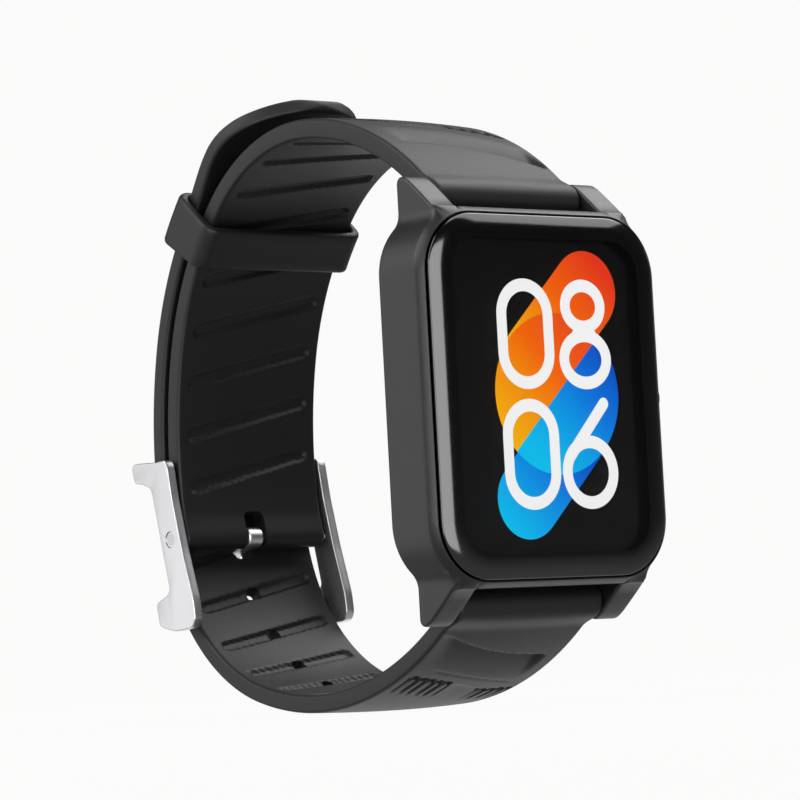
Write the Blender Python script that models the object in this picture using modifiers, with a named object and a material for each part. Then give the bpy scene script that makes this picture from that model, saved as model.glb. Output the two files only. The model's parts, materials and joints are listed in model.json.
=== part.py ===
"""Smartwatch with a rectangular case, silicone strap, keeper and pin buckle.

Row frame, metres: the origin is the centre of the sensor window's flat outer face, +Z runs to
12 o'clock, the display faces -Y, and +X is the 3 o'clock side that carries the button. The wrist
passes through the closed strap loop along X.
"""
import math

import bmesh
import bpy
from mathutils import Matrix, Vector

MM = 0.001

# Case body and glass (half sizes are half width along X and half height along Z).
CASE_HALF = (18.3, 22.2)
CASE_CORNER = 7.9
CASE_FRONT = -10.1
CASE_REAR = -2.2
GLASS_HALF = (17.25, 21.3)
GLASS_CORNER = 7.0
GLASS_FRONT = -11.05
GLASS_BACK = -9.2
PANEL_HALF = (15.2, 19.1)
CAVITY_HALF = (15.6, 19.4)
CAVITY_CHAMFER = 8.5
RECESS_HALF = (16.7, 20.5)
COVER_HALF = (16.45, 20.25)
COVER_FRONT = -3.2
COVER_REAR = -1.4
WINDOW_RADIUS = 7.0
SCREW_AT = (13.3, 17.0)
CONTACT_AT = (2.6, -15.0)

# Strap fixing between the lugs.
LUG_GAP = 11.2
LUG_OUTER = 14.9
LUG_PROFILE = ((-8.6, 19.0), (-8.3, 21.9), (-4.7, 25.6), (-4.0, 26.15), (-3.3, 26.3),
               (-2.7, 26.0), (-2.35, 25.3), (-2.3, 19.0))
BAR_Y = -3.55
BAR_Z = 24.1
BAR_TUBE_RADIUS = 0.8
STRAP_HALF_WIDTH = 11.0
UPPER_THICKNESS = 2.4
LOWER_THICKNESS = 2.2
LAYER_GAP = 1.0
STRAP_CROWN = 0.35
CROWN_FADE = (26.0, 38.0)
STRAP_EDGE = 0.55
CROWN_STATIONS = (0.55, 0.0, -0.55)

# Strap centre lines in the YZ plane, as a heading and tangent arcs of (radius, degrees).
UPPER_HEADING = 46.8
UPPER_ARCS = ((36.1, 43.2), (24.1, 50.5), (38.8, 29.3), (55.4, 24.7))
LOWER_HEADING = -42.2315
LOWER_ARCS = ((40.7633, 58.2526), (25.0729, 63.0790))
TAIL_ARCS = ((400.0, 1.5756), (16.0, 34.0), (400.0, 0.716))
TAIL_CONCENTRIC = 17.3
TAIL_ROUND = 11.2
TAIL_TIP_THICKNESS = 1.8
HOLE_FIRST = 40.8
HOLE_PITCH = 6.9
HOLE_COUNT = 9
HOLE_SIZE = (2.6, 3.3)

# Keeper, as radii and angles about the arc that the strap follows there.
KEEPER_RADII = (35.9, 45.1)
KEEPER_BORE_RADII = (37.0, 43.95)
KEEPER_HALF_WIDTH = 12.45
KEEPER_BORE_HALF_WIDTH = 11.35
KEEPER_ANGLES = (32.2, 41.2)

# Buckle outlines in its own axes: Y out of the strap and Z up the arms, from the pin's centre.
BUCKLE_TILT = 13.1
BUCKLE_INNER = 11.5
BUCKLE_OUTER = 12.8
PIN_RADIUS = 0.65
PIN_HEAD_RADIUS = 1.0
BUCKLE_ARM = ((-1.9, 10.0), (0.0, 10.3), (4.6, 11.5), (5.4, 11.2), (5.4, 9.0), (4.0, 8.6), (2.4, 7.6),
              (2.1, 6.9), (2.1, -6.1), (3.0, -6.6), (5.5, -6.9), (5.6, -9.8), (4.9, -10.3), (2.5, -11.4),
              (-1.2, -11.9), (-2.1, -11.0), (-2.4, -8.4), (-1.95, -1.9), (-1.85, 4.7), (-2.1, 9.2))
UPPER_CROSSBAR = ((3.9, 9.2), (5.2, 9.1), (5.4, 9.6), (5.35, 10.9), (4.9, 11.2), (3.9, 10.8))
LOWER_CROSSBAR = ((3.95, -7.2), (5.4, -7.0), (5.6, -7.4), (5.6, -9.5), (5.2, -9.8), (3.95, -9.6))
TONGUE_ARM = ((0.55, -1.2), (1.6, -1.0), (2.6, -1.05), (4.4, -1.3), (5.5, -2.3), (5.95, -3.6),
              (5.95, -6.0), (5.8, -10.1), (6.2, -10.5), (6.75, -10.1), (6.95, -6.0), (6.85, -3.0),
              (6.1, -1.3), (4.9, -0.5), (3.0, -0.2), (1.2, 0.25), (0.9, 0.8))

# Side button.
BUTTON_Y = -5.8
BUTTON_RADIUS = 2.9


# ---------------------------------------------------------------- scene and materials

def clear_scene():
    for item in list(bpy.data.objects):
        bpy.data.objects.remove(item, do_unlink=True)


def new_collection(name):
    group = bpy.data.collections.new(name)
    bpy.context.scene.collection.children.link(group)
    return group


def new_material(name, colour, roughness, metallic=0.0):
    mat = bpy.data.materials.new(name)
    mat.use_nodes = True
    shader = mat.node_tree.nodes["Principled BSDF"]
    shader.inputs["Base Color"].default_value = (*colour, 1.0)
    shader.inputs["Roughness"].default_value = roughness
    shader.inputs["Metallic"].default_value = metallic
    mat.diffuse_color = (*colour, 1.0)
    return mat


def add_part(item, mat, at=(0.0, 0.0, 0.0)):
    item.location = [v * MM for v in at]
    item.data.materials.append(MATERIAL[mat])
    PARTS.objects.link(item)
    return item


def add_cutter(item, at=(0.0, 0.0, 0.0), turn_x=0.0):
    item.location = [v * MM for v in at]
    if turn_x:
        item.rotation_euler = (turn_x, 0.0, 0.0)
    item.hide_render = True
    item.display_type = "WIRE"
    CUTTERS.objects.link(item)
    return item


def combine(item, other, operation="DIFFERENCE"):
    mod = item.modifiers.new(f"{operation.lower()}_{len(item.modifiers)}", "BOOLEAN")
    mod.operation = operation
    mod.solver = "EXACT"
    mod.object = other


def bevel(item, width, segments=2, angle=40.0):
    mod = item.modifiers.new("bevel", "BEVEL")
    mod.width = width * MM
    mod.segments = segments
    mod.limit_method = "ANGLE"
    mod.angle_limit = math.radians(angle)


def smooth(item, angle=35.0):
    item.data.shade_smooth()
    item.data.set_sharp_from_angle(angle=math.radians(angle))


# ---------------------------------------------------------------- shape builders (millimetres)

def from_bmesh(name, bm):
    bmesh.ops.recalc_face_normals(bm, faces=bm.faces)
    bmesh.ops.scale(bm, vec=(MM, MM, MM), verts=bm.verts)
    mesh = bpy.data.meshes.new(name)
    bm.to_mesh(mesh)
    bm.free()
    return bpy.data.objects.new(name, mesh)


def box(name, low, high):
    bm = bmesh.new()
    bmesh.ops.create_cube(bm, size=1.0)
    low, high = Vector(low), Vector(high)
    bmesh.ops.scale(bm, vec=high - low, verts=bm.verts)
    bmesh.ops.translate(bm, vec=(low + high) / 2, verts=bm.verts)
    return from_bmesh(name, bm)


def rod(name, radius, low, high, axis="X", sides=24):
    """Plain cylinder from low to high along X or Y."""
    bm = bmesh.new()
    bmesh.ops.create_cone(bm, cap_ends=True, segments=sides, radius1=radius, radius2=radius,
                          depth=high - low)
    bmesh.ops.translate(bm, vec=(0.0, 0.0, (low + high) / 2), verts=bm.verts)
    spin = Matrix.Rotation(math.radians(90), 4, "Y")
    if axis == "Y":
        spin = Matrix.Rotation(math.radians(-90), 4, "X")
    bmesh.ops.transform(bm, matrix=spin, verts=bm.verts)
    return from_bmesh(name, bm)


def turned(name, profile, axis="X", sides=28, closed=False):
    """Screw of a profile of (radius, distance along the axis) points; open ends run to the axis."""
    points = list(profile)
    if points[0][1] < points[-1][1] and not closed:
        points.reverse()
    if not closed:
        if points[0][0] > 0.0:
            points.insert(0, (0.0, points[0][1]))
        if points[-1][0] > 0.0:
            points.append((0.0, points[-1][1]))
    mesh = bpy.data.meshes.new(name)
    edges = [(i, i + 1) for i in range(len(points) - 1)]
    if closed:
        edges.append((len(points) - 1, 0))
    mesh.from_pydata([(r * MM, 0.0, along * MM) for r, along in points], edges, [])
    item = bpy.data.objects.new(name, mesh)
    mod = item.modifiers.new("screw", "SCREW")
    mod.axis = "Z"
    mod.angle = 2.0 * math.pi
    mod.steps = sides
    mod.render_steps = sides
    mod.use_merge_vertices = True
    mod.merge_threshold = 0.000001
    item.rotation_euler = (0.0, math.radians(90), 0.0)
    if axis == "Y":
        item.rotation_euler = (math.radians(-90), 0.0, 0.0)
    return item


def turned_ring(name, inner, outer, low, high, axis="X", sides=24):
    """Plain ring about X or Y; its outer side runs from the far end to the near end."""
    return turned(name, ((outer, high), (outer, low), (inner, low), (inner, high)), axis, sides, True)


def loft(name, rings):
    """Closed body through rings of equal point count, capped at both ends."""
    bm = bmesh.new()
    rows = [[bm.verts.new(point) for point in ring] for ring in rings]
    count = len(rows[0])
    for near, far in zip(rows, rows[1:]):
        for i in range(count):
            j = (i + 1) % count
            bm.faces.new((near[i], near[j], far[j], far[i]))
    bm.faces.new(rows[0])
    bm.faces.new(rows[-1])
    return from_bmesh(name, bm)


def mesh_from_curve(curve):
    """The curve's evaluated surface as a welded mesh."""
    holder = bpy.data.objects.new(curve.name, curve)
    bpy.context.scene.collection.objects.link(holder)
    bpy.context.view_layer.update()
    graph = bpy.context.evaluated_depsgraph_get()
    mesh = bpy.data.meshes.new_from_object(holder.evaluated_get(graph))
    bpy.data.objects.remove(holder, do_unlink=True)
    bm = bmesh.new()
    bm.from_mesh(mesh)
    bmesh.ops.remove_doubles(bm, verts=bm.verts, dist=0.000001)
    bmesh.ops.recalc_face_normals(bm, faces=bm.faces)
    bm.to_mesh(mesh)
    bm.free()
    return mesh


def slab(name, outlines, low, high, facing="Y"):
    """Filled 2D outlines thickened from low to high along X (y, z) or Y (x, z); later ones are holes."""
    curve = bpy.data.curves.new(name, "CURVE")
    curve.dimensions = "2D"
    curve.fill_mode = "BOTH"
    curve.extrude = (high - low) / 2 * MM
    for outline in outlines:
        spline = curve.splines.new("POLY")
        spline.points.add(len(outline) - 1)
        for point, (u, v) in zip(spline.points, outline):
            point.co = (u * MM, v * MM, 0.0, 1.0)
        spline.use_cyclic_u = True
    mesh = mesh_from_curve(curve)
    mid = (low + high) / 2 * MM
    if facing == "Y":
        mesh.transform(Matrix.Translation((0.0, mid, 0.0)) @ Matrix.Rotation(math.pi / 2, 4, "X"))
    else:
        axes = Matrix(((0, 0, 1, 0), (1, 0, 0, 0), (0, 1, 0, 0), (0, 0, 0, 1)))
        mesh.transform(Matrix.Translation((mid, 0.0, 0.0)) @ axes)
    return bpy.data.objects.new(name, mesh)


def rounded_rect(half, radius, segments=6):
    """Points of a rounded rectangle, counter-clockwise."""
    centres = ((1, 1, 0), (-1, 1, 90), (-1, -1, 180), (1, -1, 270))
    points = []
    for sx, sy, start in centres:
        for i in range(segments + 1):
            turn = math.radians(start + 90.0 * i / segments)
            points.append((sx * (half[0] - radius) + radius * math.cos(turn),
                           sy * (half[1] - radius) + radius * math.sin(turn)))
    return points


def cut_corner_rect(half, chamfer):
    """Points of a rectangle with straight cut corners."""
    x, z = half
    c = chamfer
    return ((x, z - c), (x - c, z), (c - x, z), (-x, z - c),
            (-x, c - z), (c - x, -z), (x - c, -z), (x, c - z))


def plate(name, levels, segments=6):
    """Loft facing Y through rounded rectangles, as levels of (y, half sizes, corner radius)."""
    rings = []
    for y, half, radius in levels:
        rings.append([(x, y, z) for x, z in rounded_rect(half, radius, segments)])
    return loft(name, rings)


def inset(half, radius, by):
    return (half[0] - by, half[1] - by), radius - by


# ---------------------------------------------------------------- strap paths

def arc_path(start, heading, arcs, step=2.3):
    """Stations (y, z, heading in radians, distance) along tangent arcs; positive degrees turn left."""
    y, z = start
    turn = math.radians(heading)
    distance = 0.0
    stations = [(y, z, turn, distance)]
    for radius, degrees in arcs:
        length = radius * math.radians(abs(degrees))
        count = max(1, round(length / step))
        bend = math.radians(degrees) / count
        chord = 2.0 * radius * math.sin(abs(bend) / 2.0)
        for _ in range(count):
            y += chord * math.cos(turn + bend / 2.0)
            z += chord * math.sin(turn + bend / 2.0)
            turn += bend
            distance += length / count
            stations.append((y, z, turn, distance))
    return stations


def station_at(path, distance):
    for near, far in zip(path, path[1:]):
        if near[3] <= distance <= far[3]:
            share = (distance - near[3]) / (far[3] - near[3])
            return tuple(n + share * (f - n) for n, f in zip(near, far))
    return path[-1]


def upper_path():
    return arc_path((BAR_Y, BAR_Z), UPPER_HEADING, [(r, -a) for r, a in UPPER_ARCS])


def lower_path():
    layer = UPPER_THICKNESS / 2 + LAYER_GAP + LOWER_THICKNESS / 2
    outer_arcs = [(UPPER_ARCS[3][0] + layer, UPPER_ARCS[3][1]),
                  (UPPER_ARCS[2][0] + layer, TAIL_CONCENTRIC)]
    return arc_path((BAR_Y, -BAR_Z), LOWER_HEADING, [*LOWER_ARCS, *outer_arcs, *TAIL_ARCS])


def strap_section(station, half_width, thickness, outside):
    """Rounded strip across the path, bowed on its outer side, which is left (1) or right (-1)."""
    y, z, turn, distance = station
    corner = min(STRAP_EDGE, half_width * 0.45)
    segments = 2
    outline = rounded_rect((half_width, thickness / 2), corner, segments)
    first = (segments + 1) * (1 if outside > 0 else 3)
    flat = [(share * outside * (half_width - corner), outside * thickness / 2)
            for share in CROWN_STATIONS]
    outline[first:first] = flat
    start, end = CROWN_FADE
    crown = STRAP_CROWN * min(1.0, max(0.0, (end - distance) / (end - start)))
    points = []
    for x, n in outline:
        if n * outside > 0.0:
            n += outside * crown * (1.0 - (x / half_width) ** 2)
        points.append((x, y - n * math.sin(turn), z + n * math.cos(turn)))
    return points


def keeper_centre():
    """Centre of the third arc of the upper strap, where the keeper rides."""
    path = upper_path()
    start = UPPER_ARCS[0][0] * math.radians(UPPER_ARCS[0][1])
    start += UPPER_ARCS[1][0] * math.radians(UPPER_ARCS[1][1])
    y, z, turn, _ = station_at(path, start)
    radius = UPPER_ARCS[2][0]
    return (0.0, y + radius * math.sin(turn), z - radius * math.cos(turn))


# ---------------------------------------------------------------- case group

def each_corner():
    return [(sx, sz) for sx in (-1, 1) for sz in (-1, 1)]


def make_case_frame():
    half, corner = CASE_HALF, CASE_CORNER
    body = plate("case_frame", ((CASE_FRONT, *inset(half, corner, 0.8)),
                                (CASE_FRONT + 0.45, *inset(half, corner, 0.3)),
                                (CASE_FRONT + 1.2, half, corner),
                                (CASE_REAR - 0.5, half, corner),
                                (CASE_REAR, *inset(half, corner, 0.5))), 8)
    case = add_part(body, "case_grey")
    for sx, sz in each_corner():
        outline = [(y, sz * z) for y, z in LUG_PROFILE]
        inner, outer = sorted((sx * LUG_GAP, sx * LUG_OUTER))
        lug = add_cutter(slab(f"lug_{sx}_{sz}", [outline], inner, outer, "X"))
        bevel(lug, 0.35, 2, 50.0)
        combine(case, lug, "UNION")
    for sz in (-1, 1):
        low, high = sorted((sz * CASE_HALF[1], sz * 30.0))
        gap = box(f"lug_gap_{sz}", (-LUG_GAP, -12, low), (LUG_GAP, 2, high))
        combine(case, add_cutter(gap))
    cut_case(case)
    smooth(case)


def cut_case(case):
    glass = rounded_rect(*inset(GLASS_HALF, GLASS_CORNER, -0.22), 8)
    combine(case, add_cutter(slab("glass_pocket", [glass], -10.6, -8.9)))
    combine(case, add_cutter(slab("panel_pocket", [rounded_rect((15.6, 19.5), 4.6)], -9.1, -7.9)))
    combine(case, add_cutter(slab("cavity", [cut_corner_rect(CAVITY_HALF, CAVITY_CHAMFER)], -8.1, -3.2)))
    combine(case, add_cutter(slab("cover_recess", [rounded_rect(RECESS_HALF, 6.2)], -3.7, -1.0)))
    for sx, sz in each_corner():
        at = (sx * SCREW_AT[0], 0.0, sz * SCREW_AT[1])
        combine(case, add_cutter(rod(f"screw_hole_{sx}_{sz}", 0.62, -7.0, -3.0, "Y", 16), at))
        inner, outer = sorted((sx * (LUG_GAP - 0.5), sx * (LUG_GAP + 1.5)))
        hole = rod(f"bar_hole_{sx}_{sz}", 0.55, inner, outer, "X", 16)
        combine(case, add_cutter(hole, (0.0, BAR_Y, sz * BAR_Z)))
    bore = ((1.3, 14.0), (1.3, 16.5), (1.85, 16.5), (1.85, 17.3), (3.15, 17.3), (3.15, 20.0))
    combine(case, add_cutter(turned("button_bore", bore), (0.0, BUTTON_Y, 0.0)))


def make_rear_cover():
    half, corner = COVER_HALF, 6.0
    body = plate("rear_cover", ((COVER_FRONT, half, corner), (-1.9, half, corner),
                                (COVER_REAR, *inset(half, corner, 0.7))))
    cover = add_part(body, "cover_black")
    boss = turned("cover_boss", ((12.4, -2.2), (12.4, -1.38), (10.6, -0.7), (8.6, -0.3)), "Y", 40)
    combine(cover, add_cutter(boss), "UNION")
    seat = WINDOW_RADIUS + 0.15
    seat_cut = turned("window_seat", ((5.6, -4.0), (5.6, -1.75), (seat, -1.75), (seat, 1.0)), "Y", 40)
    combine(cover, add_cutter(seat_cut))
    for sx, sz in each_corner():
        at = (sx * SCREW_AT[0], 0.0, sz * SCREW_AT[1])
        profile = ((0.75, -4.0), (0.75, -2.2), (1.35, -2.2), (1.35, 0.0))
        combine(cover, add_cutter(turned(f"cover_hole_{sx}_{sz}", profile, "Y", 20), at))
    for sx in (-1, 1):
        hole = rod(f"contact_hole_{sx}", 1.2, -4.0, 0.0, "Y", 20)
        combine(cover, add_cutter(hole, (sx * CONTACT_AT[0], 0.0, CONTACT_AT[1])))
    smooth(cover)


def make_gasket():
    rims = [rounded_rect((16.3, 20.1), 5.8), rounded_rect((15.9, 19.7), 5.4)]
    add_part(slab("rear_cover_gasket", rims, -3.62, -3.28), "gasket_grey")


def make_cover_screws():
    profile = ((0.35, -6.4), (0.5, -6.1), (0.5, -2.1), (1.15, -2.1), (1.15, -1.6), (0.95, -1.5))
    for number, (sx, sz) in enumerate(each_corner(), 1):
        at = (sx * SCREW_AT[0], 0.0, sz * SCREW_AT[1])
        screw = add_part(turned(f"rear_cover_screw_{number}", profile, "Y", 16), "screw_steel", at)
        for name, x, z in (("across", 0.55, 0.12), ("along", 0.12, 0.55)):
            slot = box(f"slot_{name}_{number}", (-x, -1.85, -z), (x, -1.0, z))
            combine(screw, add_cutter(slot, at))


def make_glass():
    levels = [(GLASS_BACK, *inset(GLASS_HALF, GLASS_CORNER, 0.1)), (-10.1, GLASS_HALF, GLASS_CORNER)]
    for y, by in ((-10.45, 0.14), (-10.75, 0.5), (-10.95, 1.15), (GLASS_FRONT, 2.3)):
        levels.append((y, *inset(GLASS_HALF, GLASS_CORNER, by)))
    glass = add_part(plate("cover_glass", levels, 8), "glass_black")
    smooth(glass, 50.0)
    rims = [rounded_rect((17.0, 21.05), 6.7), rounded_rect((16.1, 20.1), 5.8)]
    add_part(slab("glass_adhesive", rims, -9.15, -8.95), "adhesive")
    add_part(slab("display_panel", [rounded_rect(PANEL_HALF, 4.2)], -9.1, -8.05), "panel_black")


# ---------------------------------------------------------------- inside the case

def make_inner_frame():
    tray = slab("inner_frame", [cut_corner_rect((14.2, 18.3), 7.1)], -7.7, -7.1)
    frame = add_part(tray, "frame_alloy")
    bracket = box("switch_bracket", (11.4, -7.3, -2.4), (12.0, -4.6, 2.4))
    combine(frame, add_cutter(bracket), "UNION")


def make_boards():
    outline = ((14.6, 4.4), (14.6, 10.8), (7.4, 18.0), (-7.4, 18.0), (-14.6, 10.8), (-14.6, 4.4))
    add_part(slab("main_board", [outline], -5.6, -4.9), "board_green")
    shield = add_part(box("processor_shield", (-6.0, -7.0, 6.6), (5.6, -5.65, 15.4)), "shield_steel")
    bevel(shield, 0.2, 1)
    add_part(rod("sensor_board", 6.4, -3.95, -3.35, "Y", 32), "board_black")
    chips = (("sensor_led_1", -3.2, 0.7, "led_green"), ("photodiode", 0.0, 1.1, "diode_dark"),
             ("sensor_led_2", 3.2, 0.7, "led_green"))
    for name, x, size, mat in chips:
        add_part(box(name, (x - size, -3.3, -size), (x + size, -2.5, size)), mat)


def make_battery():
    battery = add_part(box("battery", (-12.2, -7.0, -14.6), (10.6, -4.2, 3.6)), "battery_foil")
    bevel(battery, 0.5, 2)
    smooth(battery)


def make_flex_cable():
    """Thin ribbon from behind the panel, over the top of the frame, to the back of the main board."""
    outer = ((-7.875, 14.6), (-7.875, 18.45), (-7.6, 18.72), (-4.9, 18.72), (-4.6, 18.42), (-4.6, 14.8))
    inner = ((-4.72, 14.8), (-4.72, 18.37), (-4.95, 18.6), (-7.55, 18.6), (-7.755, 18.4), (-7.755, 14.6))
    add_part(slab("display_flex_cable", [outer + inner], -3.2, 3.2, "X"), "flex_amber")


def make_motor():
    at = (0.0, -5.35, -16.95)
    add_part(turned_ring("vibration_motor_can", 0.4, 1.6, -6.0, 1.6), "motor_steel", at)
    rotor = add_part(rod("vibration_motor_rotor", 0.28, -5.8, 4.9, "X", 16), "tungsten", at)
    half_disc = [(1.6 * math.cos(math.radians(t)), 1.6 * math.sin(math.radians(t)))
                 for t in range(180, 361, 15)]
    weight = slab("motor_weight", [half_disc + [(0.6, 0.25), (-0.6, 0.25)]], 1.9, 4.6, "X")
    combine(rotor, add_cutter(weight, at), "UNION")


def make_charging():
    profile = ((0.6, -3.9), (0.6, -3.3), (1.05, -3.3), (1.05, -1.25), (0.9, -1.1))
    for number, sx in ((1, -1), (2, 1)):
        at = (sx * CONTACT_AT[0], 0.0, CONTACT_AT[1])
        add_part(turned(f"charging_contact_{number}", profile, "Y", 20), "contact_gold", at)
        magnet = rod(f"charging_magnet_{number}", 1.7, -4.1, -3.35, "Y")
        add_part(magnet, "magnet_nickel", (sx * 7.2, 0.0, -14.3))


def make_sensor_window():
    r = WINDOW_RADIUS
    add_part(turned("sensor_window", ((r, -1.7), (r, -0.2), (r - 0.25, 0.0)), "Y", 40), "window_dark")


# ---------------------------------------------------------------- side button

def make_button():
    at = (0.0, BUTTON_Y, 0.0)
    r = BUTTON_RADIUS
    stem = ((1.0, 14.9), (1.0, 15.05), (0.75, 15.05), (0.75, 15.35), (1.15, 15.35), (1.15, 17.95))
    dome = ((r, 17.95), (r, 19.0), (0.9 * r, 19.45), (0.66 * r, 19.85), (0.35 * r, 20.1), (0.0, 20.15))
    add_part(turned("side_button", stem + dome), "button_black", at)
    add_part(turned_ring("button_oring", 1.22, 1.78, 16.6, 17.15), "gasket_grey", at)
    clip = add_part(turned_ring("button_clip", 0.82, 1.9, 15.1, 15.3), "clip_steel", at)
    combine(clip, add_cutter(box("clip_gap", (14.0, -0.6, -3.0), (16.0, 0.6, 0.0)), at))
    body = add_part(box("side_switch", (12.05, -1.2, -1.9), (13.9, 1.1, 1.9)), "switch_steel", at)
    combine(body, add_cutter(rod("switch_bore", 0.7, 12.7, 14.2, "X", 16), at))
    add_part(rod("switch_plunger", 0.6, 13.3, 14.8, "X", 16), "plunger_white", at)


# ---------------------------------------------------------------- spring bars

def make_spring_bar(prefix, sz):
    at = (0.0, BAR_Y, sz * BAR_Z)
    tube = turned_ring(f"{prefix}_bar_tube", 0.58, BAR_TUBE_RADIUS, -9.9, 9.9, "X", 18)
    add_part(tube, "bar_steel", at)
    profile = ((0.5, 7.2), (0.5, 10.4), (0.4, 10.4), (0.4, 12.35), (0.25, 12.5))
    for side, sx in (("left", -1), ("right", 1)):
        mirrored = [(radius, sx * along) for radius, along in profile]
        add_part(turned(f"{prefix}_bar_tip_{side}", mirrored, "X", 14), "bar_steel", at)
    make_bar_spring(f"{prefix}_bar_spring", at)


def make_bar_spring(name, at):
    turns, per_turn, radius, length = 6, 8, 0.38, 11.6
    curve = bpy.data.curves.new(name, "CURVE")
    curve.dimensions = "3D"
    curve.bevel_depth = 0.09 * MM
    curve.bevel_resolution = 2
    curve.use_fill_caps = True
    spline = curve.splines.new("POLY")
    count = turns * per_turn
    spline.points.add(count)
    for i in range(count + 1):
        turn = 2.0 * math.pi * i / per_turn
        x = length * (i / count - 0.5)
        spline.points[i].co = (x * MM, radius * math.cos(turn) * MM, radius * math.sin(turn) * MM, 1.0)
    item = bpy.data.objects.new(name, mesh_from_curve(curve))
    add_part(item, "spring_steel", at)
    smooth(item)


# ---------------------------------------------------------------- strap

def barrel(name, radius, at):
    item = add_cutter(rod(name, radius, -STRAP_HALF_WIDTH, STRAP_HALF_WIDTH), at)
    bevel(item, 0.3, 1)
    return item


def pin_place():
    y, z, turn, _ = upper_path()[-1]
    return (0.0, y, z), turn


def make_strap_upper():
    rings = [strap_section(station, STRAP_HALF_WIDTH, UPPER_THICKNESS, 1) for station in upper_path()]
    strap = add_part(loft("strap_upper", rings), "strap_grey")
    bar = (0.0, BAR_Y, BAR_Z)
    pin, turn = pin_place()
    combine(strap, barrel("upper_barrel", 1.65, bar), "UNION")
    combine(strap, barrel("buckle_barrel", 1.45, pin), "UNION")
    combine(strap, add_cutter(rod("upper_bore", BAR_TUBE_RADIUS + 0.15, -14.0, 14.0), bar))
    combine(strap, add_cutter(rod("pin_bore", PIN_RADIUS + 0.15, -14.0, 14.0), pin))
    slot = add_cutter(box("tongue_slot", (-1.55, -3.0, -4.0), (1.55, 3.2, 4.0)), pin, turn + math.pi)
    bevel(slot, 0.8, 3)
    combine(strap, slot)
    smooth(strap, 45.0)


def lower_half_width(distance, length):
    left = length - distance
    if left >= TAIL_ROUND:
        return STRAP_HALF_WIDTH
    share = 1.0 - left / TAIL_ROUND
    return max(1.6, STRAP_HALF_WIDTH * math.sqrt(max(0.0, 1.0 - share * share)))


def make_strap_lower():
    path = lower_path()
    length = path[-1][3]
    stations = [s for s in path if s[3] < length - TAIL_ROUND]
    stations += [station_at(path, length - TAIL_ROUND * share)
                 for share in (1.0, 0.8, 0.6, 0.42, 0.28, 0.17, 0.09, 0.03, 0.0)]
    rings = []
    for station in stations:
        thin = min(1.0, (length - station[3]) / 20.0)
        thickness = TAIL_TIP_THICKNESS + (LOWER_THICKNESS - TAIL_TIP_THICKNESS) * thin
        rings.append(strap_section(station, lower_half_width(station[3], length), thickness, -1))
    strap = add_part(loft("strap_lower", rings), "strap_grey")
    bar = (0.0, BAR_Y, -BAR_Z)
    combine(strap, barrel("lower_barrel", 1.65, bar), "UNION")
    combine(strap, add_cutter(rod("lower_bore", BAR_TUBE_RADIUS + 0.15, -14.0, 14.0), bar))
    x, along = HOLE_SIZE[0] / 2, HOLE_SIZE[1] / 2
    for number in range(HOLE_COUNT):
        y, z, turn, _ = station_at(path, HOLE_FIRST + number * HOLE_PITCH)
        hole = box(f"strap_hole_{number}", (-x, -along, -3.0), (x, along, 3.0))
        combine(strap, add_cutter(hole, (0.0, y, z), turn))
    smooth(strap, 45.0)


def sector(name, half_width, radii, corner, angles, count=6):
    """Loft of a rounded rectangle swept about X, in the sweep centre's own frame."""
    mid = (radii[0] + radii[1]) / 2
    section = rounded_rect((half_width, (radii[1] - radii[0]) / 2), corner, 4)
    rings = []
    for i in range(count + 1):
        turn = math.radians(angles[0] + (angles[1] - angles[0]) * i / count)
        rings.append([(x, (mid + r) * math.cos(turn), (mid + r) * math.sin(turn)) for x, r in section])
    return loft(name, rings)


def make_keeper():
    centre = keeper_centre()
    low, high = KEEPER_ANGLES
    body = sector("keeper_loop", KEEPER_HALF_WIDTH, KEEPER_RADII, 1.7, (low, high))
    keeper = add_part(body, "strap_grey", centre)
    bore = sector("keeper_bore", KEEPER_BORE_HALF_WIDTH, KEEPER_BORE_RADII, 0.9, (low - 2, high + 2))
    combine(keeper, add_cutter(bore, centre))
    smooth(keeper)


# ---------------------------------------------------------------- buckle

def buckle_slab(name, outline, low, high):
    """Slab across X in buckle axes (Y out of the strap, Z up the arms), tilted with the buckle."""
    item = slab(name, [outline], low, high, "X")
    item.data.transform(Matrix.Rotation(math.radians(-BUCKLE_TILT), 4, "X"))
    return item


def make_buckle():
    pin, _ = pin_place()
    near = buckle_slab("buckle_frame", BUCKLE_ARM, -BUCKLE_OUTER, -BUCKLE_INNER)
    frame = add_part(near, "buckle_satin", pin)
    far = buckle_slab("buckle_arm", BUCKLE_ARM, BUCKLE_INNER, BUCKLE_OUTER)
    combine(frame, add_cutter(far, pin), "UNION")
    reach = BUCKLE_INNER + 0.4
    for name, outline in (("upper_crossbar", UPPER_CROSSBAR), ("lower_crossbar", LOWER_CROSSBAR)):
        combine(frame, add_cutter(buckle_slab(name, outline, -reach, reach), pin), "UNION")
    head, shaft = PIN_HEAD_RADIUS, PIN_RADIUS
    bore = [(head, -14.0), (head, -12.1), (shaft, -12.1), (shaft, 12.1), (head, 12.1), (head, 14.0)]
    bore = [(radius + 0.06, along) for radius, along in bore]
    combine(frame, add_cutter(turned("buckle_pin_bore", bore), pin))
    smooth(frame, 30.0)
    near = ((head, -12.75), (head, -12.16), (shaft, -12.16))
    profile = near + tuple((radius, -along) for radius, along in reversed(near))
    add_part(turned("buckle_pin", profile), "pin_steel", pin)


def make_tongue():
    pin, _ = pin_place()
    ring = rod("buckle_tongue", 1.3, -1.1, 1.1)
    tongue = add_part(ring, "buckle_satin", pin)
    combine(tongue, add_cutter(buckle_slab("tongue_arm", TONGUE_ARM, -1.1, 1.1), pin), "UNION")
    combine(tongue, add_cutter(rod("tongue_bore", PIN_RADIUS + 0.12, -3.0, 3.0), pin))
    smooth(tongue, 40.0)


# ---------------------------------------------------------------- build

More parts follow.
